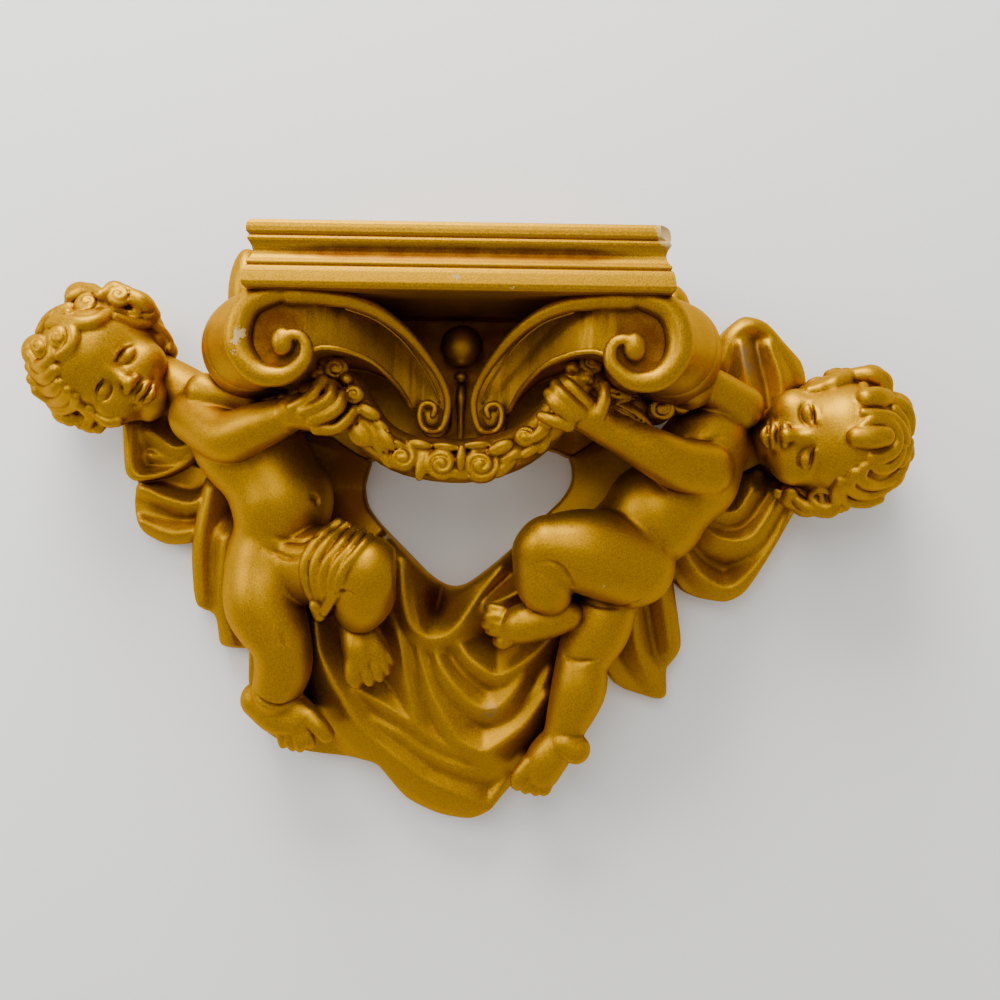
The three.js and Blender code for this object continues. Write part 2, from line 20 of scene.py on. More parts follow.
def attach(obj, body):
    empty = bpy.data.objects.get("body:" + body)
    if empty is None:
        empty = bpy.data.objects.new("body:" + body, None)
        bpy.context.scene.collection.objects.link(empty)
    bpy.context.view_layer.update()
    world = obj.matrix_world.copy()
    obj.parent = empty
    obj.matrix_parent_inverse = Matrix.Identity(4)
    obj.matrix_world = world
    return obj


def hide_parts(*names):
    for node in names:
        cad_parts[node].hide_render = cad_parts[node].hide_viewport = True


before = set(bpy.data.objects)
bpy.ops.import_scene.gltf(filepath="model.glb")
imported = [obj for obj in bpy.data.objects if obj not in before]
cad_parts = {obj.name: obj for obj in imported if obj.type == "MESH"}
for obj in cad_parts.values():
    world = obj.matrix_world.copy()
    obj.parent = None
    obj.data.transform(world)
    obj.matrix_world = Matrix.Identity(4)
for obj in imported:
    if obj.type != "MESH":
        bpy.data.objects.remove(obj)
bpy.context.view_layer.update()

log = logging.getLogger("cherub wall shelf")

MM = 0.001
NODE = "cherub_wall_shelf"
FAR = 20.0
TINY = 1e-9

Point = Sequence[float]


class Finish(Enum):
    """How finely a block of clay is worked, as the side of one grain in millimetres."""

    CLOTH = 0.75
    BODY = 0.62
    FINE = 0.55
    FACE = 0.5


def grain(finish: Finish) -> float:
    """Args:
        finish: How finely the block is worked.

    Returns:
        The grid spacing in millimetres.
    """
    return finish.value * 1.0


def smooth_path(points: Sequence[Point], per_span: int = 4) -> np.ndarray:
    """Draw a smooth path through points, and carry their other values along.

    Args:
        points: Rows of a place and, where wanted, a radius or other values.
        per_span: How many steps lie between two points.

    Returns:
        The rows of the smooth path.
    """
    rows = np.asarray(points, float)
    if len(rows) < 3:
        share = np.linspace(0, 1, per_span + 1)[:, None]
        return rows[0] * (1 - share) + rows[-1] * share
    padded = np.vstack([2 * rows[0] - rows[1], rows, 2 * rows[-1] - rows[-2]])
    drawn = []
    for before, start, end, after in zip(padded, padded[1:], padded[2:], padded[3:]):
        for share in np.arange(per_span) / per_span:
            drawn.append(0.5 * (
                2 * start + (end - before) * share
                + (2 * before - 5 * start + 4 * end - after) * share ** 2
                + (3 * start - before - 3 * end + after) * share ** 3))
    drawn.append(rows[-1])
    return np.array(drawn)


def soft_min(a: np.ndarray, b: np.ndarray, blend: float) -> np.ndarray:
    """Join two forms with a fillet.

    Args:
        a: Distances to one form.
        b: Distances to the other form.
        blend: How far the fillet reaches, in millimetres.

    Returns:
        Distances to both forms together.
    """
    if blend <= 0:
        return np.minimum(a, b)
    share = np.clip(0.5 + 0.5 * (b - a) / blend, 0, 1)
    return b + (a - b) * share - blend * share * (1 - share)


def turned(tilt: float = 0.0, pitch: float = 0.0, yaw: float = 0.0) -> np.ndarray:
    """Work out the axes of a tilted form.

    Args:
        tilt: Turn in the picture plane, in degrees, from up towards the right.
        pitch: Nod forwards, in degrees.
        yaw: Turn of the face towards its right side, in degrees.

    Returns:
        Three columns: the form's right, up and forward in the frame of the shelf.
    """
    upright = np.array([[1.0, 0, 0], [0, 0, -1.0], [0, 1.0, 0]])
    p, y, t = (math.radians(value) for value in (pitch, yaw, tilt))
    nod = np.array([[1, 0, 0], [0, math.cos(p), -math.sin(p)], [0, math.sin(p), math.cos(p)]])
    swing = np.array([[math.cos(y), 0, math.sin(y)], [0, 1, 0], [-math.sin(y), 0, math.cos(y)]])
    roll = np.array([[math.cos(t), 0, math.sin(t)], [0, 1, 0], [-math.sin(t), 0, math.cos(t)]])
    return roll @ upright @ swing @ nod


@dataclass
class Lump:
    """An egg-shaped form: its middle, its half sizes and its own axes as columns."""

    middle: Point
    half: Point
    axes: Optional[np.ndarray] = None

    def reach(self) -> tuple[np.ndarray, np.ndarray]:
        """Give the corners of the box that holds the form."""
        size = np.full(3, max(self.half))
        return np.asarray(self.middle) - size, np.asarray(self.middle) + size

    def distance(self, x: np.ndarray, y: np.ndarray, z: np.ndarray) -> np.ndarray:
        """Measure how far places are from the form's skin.

        Args:
            x: Places across.
            y: Places along the depth.
            z: Heights.

        Returns:
            Distances, negative inside.
        """
        dx, dy, dz = x - self.middle[0], y - self.middle[1], z - self.middle[2]
        axes = np.eye(3) if self.axes is None else self.axes
        once = 0.0
        twice = 0.0
        for axis, half in zip(axes.T, self.half):
            along = (dx * axis[0] + dy * axis[1] + dz * axis[2]) ** 2
            once = once + along / half ** 2
            twice = twice + along / half ** 4
        once = np.sqrt(once)
        return once * (once - 1) / np.sqrt(twice + 1e-12)


@dataclass
class Strand:
    """A round bar along a smooth path of [x, y, z, radius] joints."""

    joints: Sequence[Point]
    per_span: int = 4

    def __post_init__(self) -> None:
        """Draw the bar's path."""
        self.path = smooth_path(self.joints, self.per_span)
        self.path[:, 3] = np.maximum(self.path[:, 3], 0.05)

    def reach(self) -> tuple[np.ndarray, np.ndarray]:
        """Give the corners of the box that holds the form."""
        places, radius = self.path[:, :3], self.path[:, 3:]
        return (places - radius).min(0), (places + radius).max(0)

    def distance(self, x: np.ndarray, y: np.ndarray, z: np.ndarray) -> np.ndarray:
        """Measure how far places are from the form's skin, near it.

        Args:
            x: Places across.
            y: Places along the depth.
            z: Heights.

        Returns:
            Distances, negative inside, and a large number well away from the bar.
        """
        lines = [x.ravel(), y.ravel(), z.ravel()]
        result = np.full([len(line) for line in lines], FAR, np.float32)
        near = 7.0
        for start, end in zip(self.path, self.path[1:]):
            widest = max(start[3], end[3]) + near
            cut = tuple(
                slice(*np.searchsorted(line, (min(a, b) - widest, max(a, b) + widest)))
                for line, a, b in zip(lines, start, end))
            if any(part.start >= part.stop for part in cut):
                continue
            px = x[cut[0]] - start[0]
            py = y[:, cut[1]] - start[1]
            pz = z[:, :, cut[2]] - start[2]
            way = end[:3] - start[:3]
            length = float(way @ way) + TINY
            along = px * way[0] + py * way[1] + pz * way[2]
            share = np.clip(along / length, 0, 1)
            away = px * px + py * py + pz * pz - share * (2 * along - share * length)
            gap = np.sqrt(np.maximum(away, 0)) - (start[3] + (end[3] - start[3]) * share)
            result[cut] = np.minimum(result[cut], gap)
        return result


class Clay:
    """A block of clay, held as distances to its surface on a regular grid."""

    def __init__(self, low: Point, high: Point, step: float) -> None:
        """Set out an empty block.

        Args:
            low: Lowest corner, in millimetres.
            high: Highest corner.
            step: Grid spacing.
        """
        self.step = step
        self.low = np.asarray(low, float)
        count = np.ceil((np.asarray(high, float) - self.low) / step).astype(int) + 1
        self.field = np.full(count, FAR, np.float32)
        self.lines = [
            (self.low[i] + step * np.arange(count[i])).astype(np.float32) for i in range(3)]

    def window(self, low: Point, high: Point) -> tuple:
        """Find the part of the block that a box covers.

        Args:
            low: Lowest corner of the box.
            high: Highest corner of the box.

        Returns:
            The slices of the grid, and the places across, along the depth and up.
        """
        cut = []
        for axis, line in enumerate(self.lines):
            first = int(np.clip((low[axis] - self.low[axis]) // self.step, 0, len(line)))
            last = int(np.clip((high[axis] - self.low[axis]) // self.step + 2, 0, len(line)))
            cut.append(slice(first, last))
        x, y, z = (line[part] for line, part in zip(self.lines, cut))
        return tuple(cut), x[:, None, None], y[None, :, None], z[None, None, :]

    def _work(self, form: object, blend: float, sign: float) -> None:
        """Press a form on, or carve it out with the sign turned.

        Args:
            form: The form to add or to take away.
            blend: Size of the fillet where it meets the block.
            sign: 1 to press and -1 to carve.
        """
        low, high = form.reach()
        edge = blend + 2.5 * self.step
        cut, x, y, z = self.window(low - edge, high + edge)
        if min(part.stop - part.start for part in cut) < 1:
            return
        gap = form.distance(x, y, z)
        self.field[cut] = sign * soft_min(sign * self.field[cut], gap, blend)

    def press(self, form: object, blend: float = 1.0) -> None:
        """Press a form onto the block.

        Args:
            form: The form to add.
            blend: Size of the fillet where it meets the block.
        """
        self._work(form, blend, 1.0)

    def carve(self, form: object, blend: float = 0.6) -> None:
        """Carve a form out of the block.

        Args:
            form: The form to take away.
            blend: How far the cut's edge is rounded.
        """
        self._work(form, blend, -1.0)

    def root(self, taper: float) -> None:
        """Back every form with clay towards the wall, so that no gap opens behind it.

        Args:
            taper: How fast the backing narrows with depth.
        """
        for layer in range(1, self.field.shape[1]):
            behind = self.field[:, layer - 1, :] + taper * self.step
            np.minimum(self.field[:, layer, :], behind, out=self.field[:, layer, :])

    def flatten_back(self) -> None:
        """Cut the block flat at the wall."""
        self.field = np.maximum(self.field, self.lines[1][None, :, None])

    def sample(self, values: np.ndarray, places: np.ndarray) -> np.ndarray:
        """Read values off the grid, blended between its points.

        Args:
            values: One value for each point of the grid.
            places: Rows of places, in millimetres.

        Returns:
            One value for each place.
        """
        spots = np.clip((places - self.low) / self.step, 0, np.array(values.shape) - 1.001)
        first = spots.astype(int)
        share = spots - first
        total = np.zeros(len(places))
        for corner in np.ndindex(2, 2, 2):
            weight = np.prod(np.where(corner, share, 1 - share), axis=1)
            i, j, k = (first + corner).T
            total += weight * values[i, j, k]
        return total

    def cell(self, axis: int, place: float) -> int:
        """Find the grid line nearest to a place along one axis."""
        nearest = round((place - self.low[axis]) / self.step)
        return int(np.clip(nearest, 0, self.field.shape[axis] - 1))

    def front_of(self, right: float, up: float) -> float:
        """Find how far forward the clay comes at a place seen from the front.

        Args:
            right: Place across.
            up: Height.

        Returns:
            The third coordinate of the foremost skin. Beside the clay it falls away
            from the nearest skin towards the middle.
        """
        reach = math.hypot(right, up)
        for walked in np.arange(0, reach, self.step):
            share = 1 - walked / reach
            i, j = self.cell(0, right * share), self.cell(1, up * share)
            solid = np.flatnonzero(self.field[i, j] < 0)
            if len(solid):
                inner, outer = self.field[i, j, solid[-1]:solid[-1] + 2]
                front = self.lines[2][solid[-1]] + self.step * inner / (inner - outer)
                return float(front) - 0.9 * walked
        return 0.0

    def skin_at(self, across: float, up: float) -> float:
        """Find the foremost skin of a block that hangs on the wall.

        Args:
            across: Place across.
            up: Height.

        Returns:
            The skin's place along the depth, or the wall where there is no clay.
        """
        i, k = self.cell(0, across), self.cell(2, up)
        solid = np.flatnonzero(self.field[i, :, k] < 0)
        if not len(solid):
            return 0.0
        outer, inner = self.field[i, solid[0] - 1:solid[0] + 1, k]
        return float(self.lines[1][solid[0]] - self.step * inner / (inner - outer))


def groove_lift(count: int) -> np.ndarray:
    """Say how far a groove stands off the skin along its way, in its own radii.

    Args:
        count: How many places the groove has.

    Returns:
        A sunk middle and ends that rise out of the skin.
    """
    return 1.35 * np.linspace(-1, 1, count) ** 4 - 0.25


class Hollows:
    """How shut in each place of the casting is, for the material to paint shading into the hollows."""

    LOW: Point = (-224, -130, -250)
    HIGH: Point = (232, 8, 54)
    # near and wide say how shut in each place is; the material turns them into painted shading
    RADII: Sequence[tuple[str, float]] = (("near", 2.4), ("wide", 7.2))
    BACK_LAYER: float = -2.8
    MARGIN: int = 4
    SOLID: float = 0.99

    def __init__(self, step: float = 1.2) -> None:
        """Set out an empty room round the casting, with a coarse grid."""
        self.room = Clay(self.LOW, self.HIGH, step)
        self.room.field[:] = 0

    def add(self, clay: Clay, axes: Optional[np.ndarray], middle: Optional[Point]) -> None:
        """Note where a block's clay is.

        Args:
            clay: The block.
            axes: The block's right, up and forward as columns, where it is turned.
            middle: Where the block's own zero goes, where it is turned.
        """
        low = clay.low
        high = low + clay.step * np.array(clay.field.shape)
        if axes is not None:
            reach = np.abs([low, high]).max() * 1.5
            low, high = np.asarray(middle) - reach, np.asarray(middle) + reach
        cut, x, y, z = self.room.window(low, high)
        places = np.stack(np.broadcast_arrays(x, y, z), -1).reshape(-1, 3).astype(float)
        if axes is not None:
            places = (places - middle) @ np.linalg.inv(axes).T
        spots = np.rint((places - clay.low) / clay.step).astype(int)
        known = np.all((spots >= 0) & (spots < clay.field.shape), axis=1)
        gap = np.full(len(places), FAR, np.float32)
        i, j, k = spots[known].T
        gap[known] = clay.field[i, j, k]
        share = np.clip(0.5 - gap / self.room.step, 0, 1).reshape(self.room.field[cut].shape)
        self.room.field[cut] = np.maximum(self.room.field[cut], share)

    def fill(self, low: Point, high: Point) -> None:
        """Note a solid box."""
        cut, *_ = self.room.window(low, high)
        self.room.field[cut] = 1

    def covers(self, across: float, up: float) -> bool:
        """Tell whether the flat back hides a place on the wall and all that is close to it.

        Args:
            across: Place across.
            up: Height.

        Returns:
            Whether there is clay all round the place, just in front of the wall.
        """
        low, step = self.room.low, self.room.step
        i, layer, k = (int(round((place - edge) / step))
                       for place, edge in zip((across, self.BACK_LAYER, up), low))
        before, after = self.MARGIN, self.MARGIN + 1
        near = self.room.field[max(i - before, 0):i + after, layer, max(k - before, 0):k + after]
        return near.shape == (before + after,) * 2 and bool(near.min() > self.SOLID)

    def blurred(self, radius: float) -> np.ndarray:
        """Work out the share of clay in a box round each place.

        Args:
            radius: How far the box reaches.

        Returns:
            The shares over the whole room.
        """
        share = self.room.field
        reach = max(1, int(round(radius / self.room.step)))
        for axis in range(3):
            added = np.cumsum(np.insert(share, 0, 0, axis=axis), axis=axis, dtype=np.float64)
            count = share.shape[axis]
            low = np.clip(np.arange(count) - reach, 0, count)
            high = np.clip(np.arange(count) + reach + 1, 0, count)
            total = np.take(added, high, axis=axis) - np.take(added, low, axis=axis)
            share = (total / (2 * reach + 1)).astype(np.float32)
        return share

    def note(self, piece: bpy.types.Object) -> None:
        """Store the shares on each vertex of a mesh as near and wide, from which the material paints
        shading into the hollows.

        Args:
            piece: The finished mesh, in metres.
        """
        mesh = piece.data
        places = np.empty(len(mesh.vertices) * 3)
        mesh.vertices.foreach_get("co", places)
        places = places.reshape(-1, 3) / MM
        for name, radius in self.RADII:
            values = self.room.sample(self.blurred(radius), places)
            layer = mesh.attributes.new(name, "FLOAT", "POINT")
            layer.data.foreach_set("value", np.ascontiguousarray(values, np.float32))


class Modeller:
    """Turns clay into finished meshes."""

    def __init__(self) -> None:
        """Start with nothing made."""
        self.made: list[bpy.types.Object] = []
        self.hollows = Hollows()

    @staticmethod
    def choose(piece: bpy.types.Object) -> None:
        """Make one object the only one selected, and active.

        Args:
            piece: The object.
        """
        bpy.ops.object.select_all(action="DESELECT")
        piece.select_set(True)
        bpy.context.view_layer.objects.active = piece

    def cast(self, clay: Clay, name: str, triangles: int,
             axes: Optional[np.ndarray] = None, middle: Optional[Point] = None) -> bpy.types.Object:
        """Take the surface of a block as a mesh of a given size, in its place.

        Args:
            clay: The block.
            name: Name of the new object.
            triangles: How many triangles it may have.
            axes: The block's right, up and forward as columns, where it is turned.
            middle: Where the block's own zero goes, where it is turned.

        Returns:
            The new object, in metres.
        """
        grid = openvdb.FloatGrid(FAR)
        grid.copyFromArray(clay.field)
        points, tris, quads = grid.convertToPolygons(isovalue=0.0, adaptivity=0.0)
        places = np.asarray(points, float) * clay.step + clay.low
        faces = [tuple(row) for row in tris.tolist()] + [tuple(row) for row in quads.tolist()]
        mesh = bpy.data.meshes.new(name)
        mesh.from_pydata((places * MM).tolist(), [], faces)
        piece = bpy.data.objects.new(name, mesh)
        bpy.context.scene.collection.objects.link(piece)
        self.choose(piece)
        bpy.ops.object.mode_set(mode="EDIT")
        bpy.ops.mesh.select_all(action="SELECT")
        bpy.ops.mesh.normals_make_consistent(inside=False)
        bpy.ops.object.mode_set(mode="OBJECT")
        relax = piece.modifiers.new("relax", "SMOOTH")
        relax.factor = 0.5
        relax.iterations = 1
        bpy.ops.object.modifier_apply(modifier=relax.name)
        count = sum(len(face.vertices) - 2 for face in mesh.polygons)
        if count > triangles:
            thin = piece.modifiers.new("thin", "DECIMATE")
            thin.ratio = triangles / count
            bpy.ops.object.modifier_apply(modifier=thin.name)
        bpy.ops.object.shade_smooth()
        self.hollows.add(clay, axes, middle)
        if axes is not None:
            turn = Matrix(axes.tolist()).to_4x4()
            turn.translation = [value * MM for value in middle]
            piece.data.transform(turn)
        log.info("%s: %d triangles from %d", name, len(piece.data.polygons), count)
        self.made.append(piece)
        return piece

    def join(self, name: str) -> bpy.types.Object:
        """Join all that was made into one piece.

        Args:
            name: Name of the piece.

        Returns:
            The joined piece.
        """
        bpy.ops.object.select_all(action="DESELECT")
        for piece in self.made:
            piece.select_set(True)
        bpy.context.view_layer.objects.active = self.made[0]
        bpy.ops.object.join()
        whole = bpy.context.view_layer.objects.active
        whole.name = name
        whole.data.name = name
        self.made = [whole]
        return whole


def outline_distance(outline: Sequence[Point], x: np.ndarray, z: np.ndarray) -> np.ndarray:
    """Measure how far places on a plane lie from a closed outline.

    Args:
        outline: Corners of the outline as [x, z].
        x: Places across, one column.
        z: Heights, one row.

    Returns:
        Distances, negative inside.
    """
    corners = np.asarray(outline, float)
    nearest = np.full(np.broadcast(x, z).shape, 1e9)
    inside = np.zeros(nearest.shape, bool)
    for start, end in zip(corners, np.roll(corners, -1, 0)):
        way = end - start
        dx, dz = x - start[0], z - start[1]
        share = np.clip((dx * way[0] + dz * way[1]) / (way @ way + TINY), 0, 1)
        nearest = np.minimum(nearest, (dx - share * way[0]) ** 2 + (dz - share * way[1]) ** 2)
        if way[1] != 0:
            crosses = (start[1] <= z) != (end[1] <= z)
            inside ^= crosses & (dx < dz * way[0] / way[1])
    return np.where(inside, -1, 1) * np.sqrt(nearest)


def rounded(outline: Sequence[Point], shares: Sequence[float] = (0.18, 0.25)) -> np.ndarray:
    """Cut the corners of a closed outline.

    Args:
        outline: Corners of the outline as [x, z].
        shares: Which share of a side each pass cuts off at both of its ends.

    Returns:
        The corners of the rounder outline.
    """
    corners = np.asarray(outline, float)
    for share in shares:
        following = np.roll(corners, -1, 0)
        near = corners + (following - corners) * share
        far = following + (corners - following) * share
        corners = np.stack([near, far], 1).reshape(-1, 2)
    return corners


def softened(front: np.ndarray, reach: float, step: float) -> np.ndarray:
    """Round off a depth map.

    Args:
        front: The depths over a plane.
        reach: How far the rounding goes, in millimetres.
        step: Spacing of the plane's grid.

    Returns:
        The rounded depths.
    """
    for _ in range(max(1, int(round(2 * (reach / step) ** 2)))):
        for axis in (0, 1):
            if front.shape[axis] < 3:
                continue
            edged = np.concatenate([front.take([0], axis), front, front.take([-1], axis)], axis)
            count = front.shape[axis]
            before, after = np.arange(count), np.arange(count) + 2
            front = 0.5 * front + 0.25 * (edged.take(before, axis) + edged.take(after, axis))
    return front


@dataclass
class Fold:
    """A fold of cloth as [x, z, depth of its crest, reach of its flanks] points."""

    points: Sequence[Point]
    fall: float = 7.5

    def height(self, x: np.ndarray, z: np.ndarray, base: np.ndarray) -> np.ndarray:
        """Work out how far the fold stands out from the wall.

        Args:
            x: Places across, one column.
            z: Heights, one row.
            base: Depth of the cloth between the folds.

        Returns:
            The depth of the fold over the plane, no less than the base.
        """
        path = smooth_path(self.points, 5)
        best = np.array(np.broadcast_to(base, np.broadcast(x, z).shape))
        for start, end in zip(path, path[1:]):
            way = end[:2] - start[:2]
            dx, dz = x - start[0], z - start[1]
            share = np.clip((dx * way[0] + dz * way[1]) / (way @ way + TINY), 0, 1)
            away = np.hypot(dx - share * way[0], dz - share * way[1])
            depth = start[2] + (end[2] - start[2]) * share
            width = start[3] + (end[3] - start[3]) * share
            flank = self.fall * np.clip(away / width, 0, 1) ** 1.15 + 1.3 * np.maximum(away - width, 0)
            best = np.maximum(best, depth - flank)
        return best


@dataclass
class Panel:
    """A flat panel on the wall with an outline and a modelled front."""

    outline: Sequence[Point]
    depth: float
    folds: Sequence[Fold] = ()
    edge: float = 2.0
    soft: float = 1.0
    shape: Optional[object] = None

    def reach(self) -> tuple[np.ndarray, np.ndarray]:
        """Give the corners of the box that holds the form.

        Returns:
            The lowest and the highest corner.
        """
        corners = np.asarray(self.outline, float)
        deepest = max([self.depth] + [point[2] for fold in self.folds for point in fold.points])
        low, high = corners.min(0), corners.max(0)
        return np.array([low[0], -deepest - 2, low[1]]), np.array([high[0], 4.0, high[1]])

    def distance(self, x: np.ndarray, y: np.ndarray, z: np.ndarray) -> np.ndarray:
        """Measure how far places are from the form's skin.

        Args:
            x: Places across.
            y: Places along the depth.
            z: Heights.

        Returns:
            Distances, negative inside.
        """
        across, up = x[:, 0, :], z[0, :, :]
        rim = outline_distance(rounded(self.outline), across, up)
        front = np.full(rim.shape, self.depth)
        if self.shape is not None:
            front = self.shape(across, up)
        base = front
        for fold in self.folds:
            front = -soft_min(-front, -fold.height(across, up, base), 0.8)
        slope = np.ones(rim.shape)
        if min(rim.shape) > 2:
            spacing = float(across[1, 0] - across[0, 0])
            front = softened(front, self.soft, spacing)
            along, rise = np.gradient(front, spacing)
            slope = np.sqrt(1 + along ** 2 + rise ** 2)
        proud = (-y - front[:, None, :]) / slope[:, None, :]
        return -soft_min(-proud, -rim[:, None, :], self.edge).astype(np.float32)


@dataclass
class MouldedShelf:
    """The shelf itself: a slab with a moulded edge and one broken corner."""

    width: float = 186.0
    depth: float = 120.0
    top: float = 44.0
    thickness: float = 30.0
    profile: Sequence[Point] = (
        (4.6, 0), (2.9, 0.5), (2.0, 1.8), (1.7, 3.6), (1.8, 5.6), (2.4, 6.4), (3.1, 6.9), (2.5, 7.4),
        (2.2, 8.4), (2.4, 9.4), (3.2, 10.4), (4.0, 12.0), (4.3, 13.6), (4.0, 15.2), (3.2, 16.8),
        (2.5, 17.6), (2.0, 18.2), (1.9, 18.8), (2.1, 19.4), (2.5, 19.8), (1.4, 20.6), (0.8, 22.4),
        (0.4, 24.8), (0.1, 27.2), (0.5, 28.8), (1.6, 29.7), (2.6, 30))
    chip: float = 8.6
    cuts: int = 4
    crisp_angle: float = 38.0

    def build(self, modeller: Modeller) -> bpy.types.Object:
        """Model the shelf from its top downwards.

        Args:
            modeller: Collects the finished meshes.

        Returns:
            The shelf's mesh.
        """
        bpy.ops.mesh.primitive_plane_add(size=1, location=(0, 0, 0))
        slab = bpy.context.object
        slab.name = "moulded shelf"
        bpy.ops.object.mode_set(mode="EDIT")
        bpy.ops.mesh.select_all(action="SELECT")
        first, drop = self.profile[0]
        across, along = self.width - 2 * first, self.depth - first
        bpy.ops.transform.resize(value=(across * MM, along * MM, 1))
        bpy.ops.transform.translate(value=(0, -along / 2 * MM, self.top * MM))
        for inset, level in self.profile[1:]:
            bpy.ops.mesh.extrude_region_move(
                TRANSFORM_OT_translate={"value": (0, 0, (drop - level) * MM)})
            wider, longer = self.width - 2 * inset, self.depth - inset
            bpy.ops.transform.resize(
                value=(wider / across, longer / along, 1),
                center_override=(0, 0, (self.top - level) * MM))
            across, along, drop = wider, longer, level
        bpy.ops.mesh.select_all(action="SELECT")
        bpy.ops.mesh.normals_make_consistent(inside=False)
        bpy.ops.object.mode_set(mode="OBJECT")
        modeller.made.append(slab)
        self.fine_edges()
        self.break_corner(slab)
        bpy.ops.object.shade_smooth_by_angle(angle=math.radians(self.crisp_angle))
        waist = self.top - self.thickness * 0.7
        for inset, bottom, level in ((2, self.top - self.thickness, waist), (4, waist, self.top - 2.5)):
            modeller.hollows.fill((inset - self.width / 2, inset - self.depth, bottom),
                                  (self.width / 2 - inset, 8, level))
        return slab

    def fine_edges(self) -> None:
        """Cut the long faces into shorter ones, so that the finish can vary along them."""
        bpy.ops.object.mode_set(mode="EDIT")
        bpy.ops.mesh.select_all(action="SELECT")
        bpy.ops.mesh.subdivide(number_cuts=self.cuts)
        bpy.ops.object.mode_set(mode="OBJECT")

    def break_corner(self, slab: bpy.types.Object) -> None:
        """Cut the broken corner away from the top of the shelf.

        Args:
            slab: The shelf's mesh.
        """
        bpy.ops.mesh.primitive_ico_sphere_add(subdivisions=2, radius=self.chip * MM, location=(
            (self.width / 2 + 1) * MM, (2 - self.depth) * MM, (self.top - 1.5) * MM))
        cutter = bpy.context.object
        bpy.ops.object.mode_set(mode="EDIT")
        bpy.ops.mesh.select_all(action="SELECT")
        bpy.ops.transform.vertex_random(offset=1.4 * MM, seed=4)
        bpy.ops.object.mode_set(mode="OBJECT")
        Modeller.choose(slab)
        cut = slab.modifiers.new("broken corner", "BOOLEAN")
        cut.operation = "DIFFERENCE"
        cut.solver = "EXACT"
        cut.object = cutter
        bpy.ops.object.modifier_apply(modifier=cut.name)
        bpy.data.objects.remove(cutter)


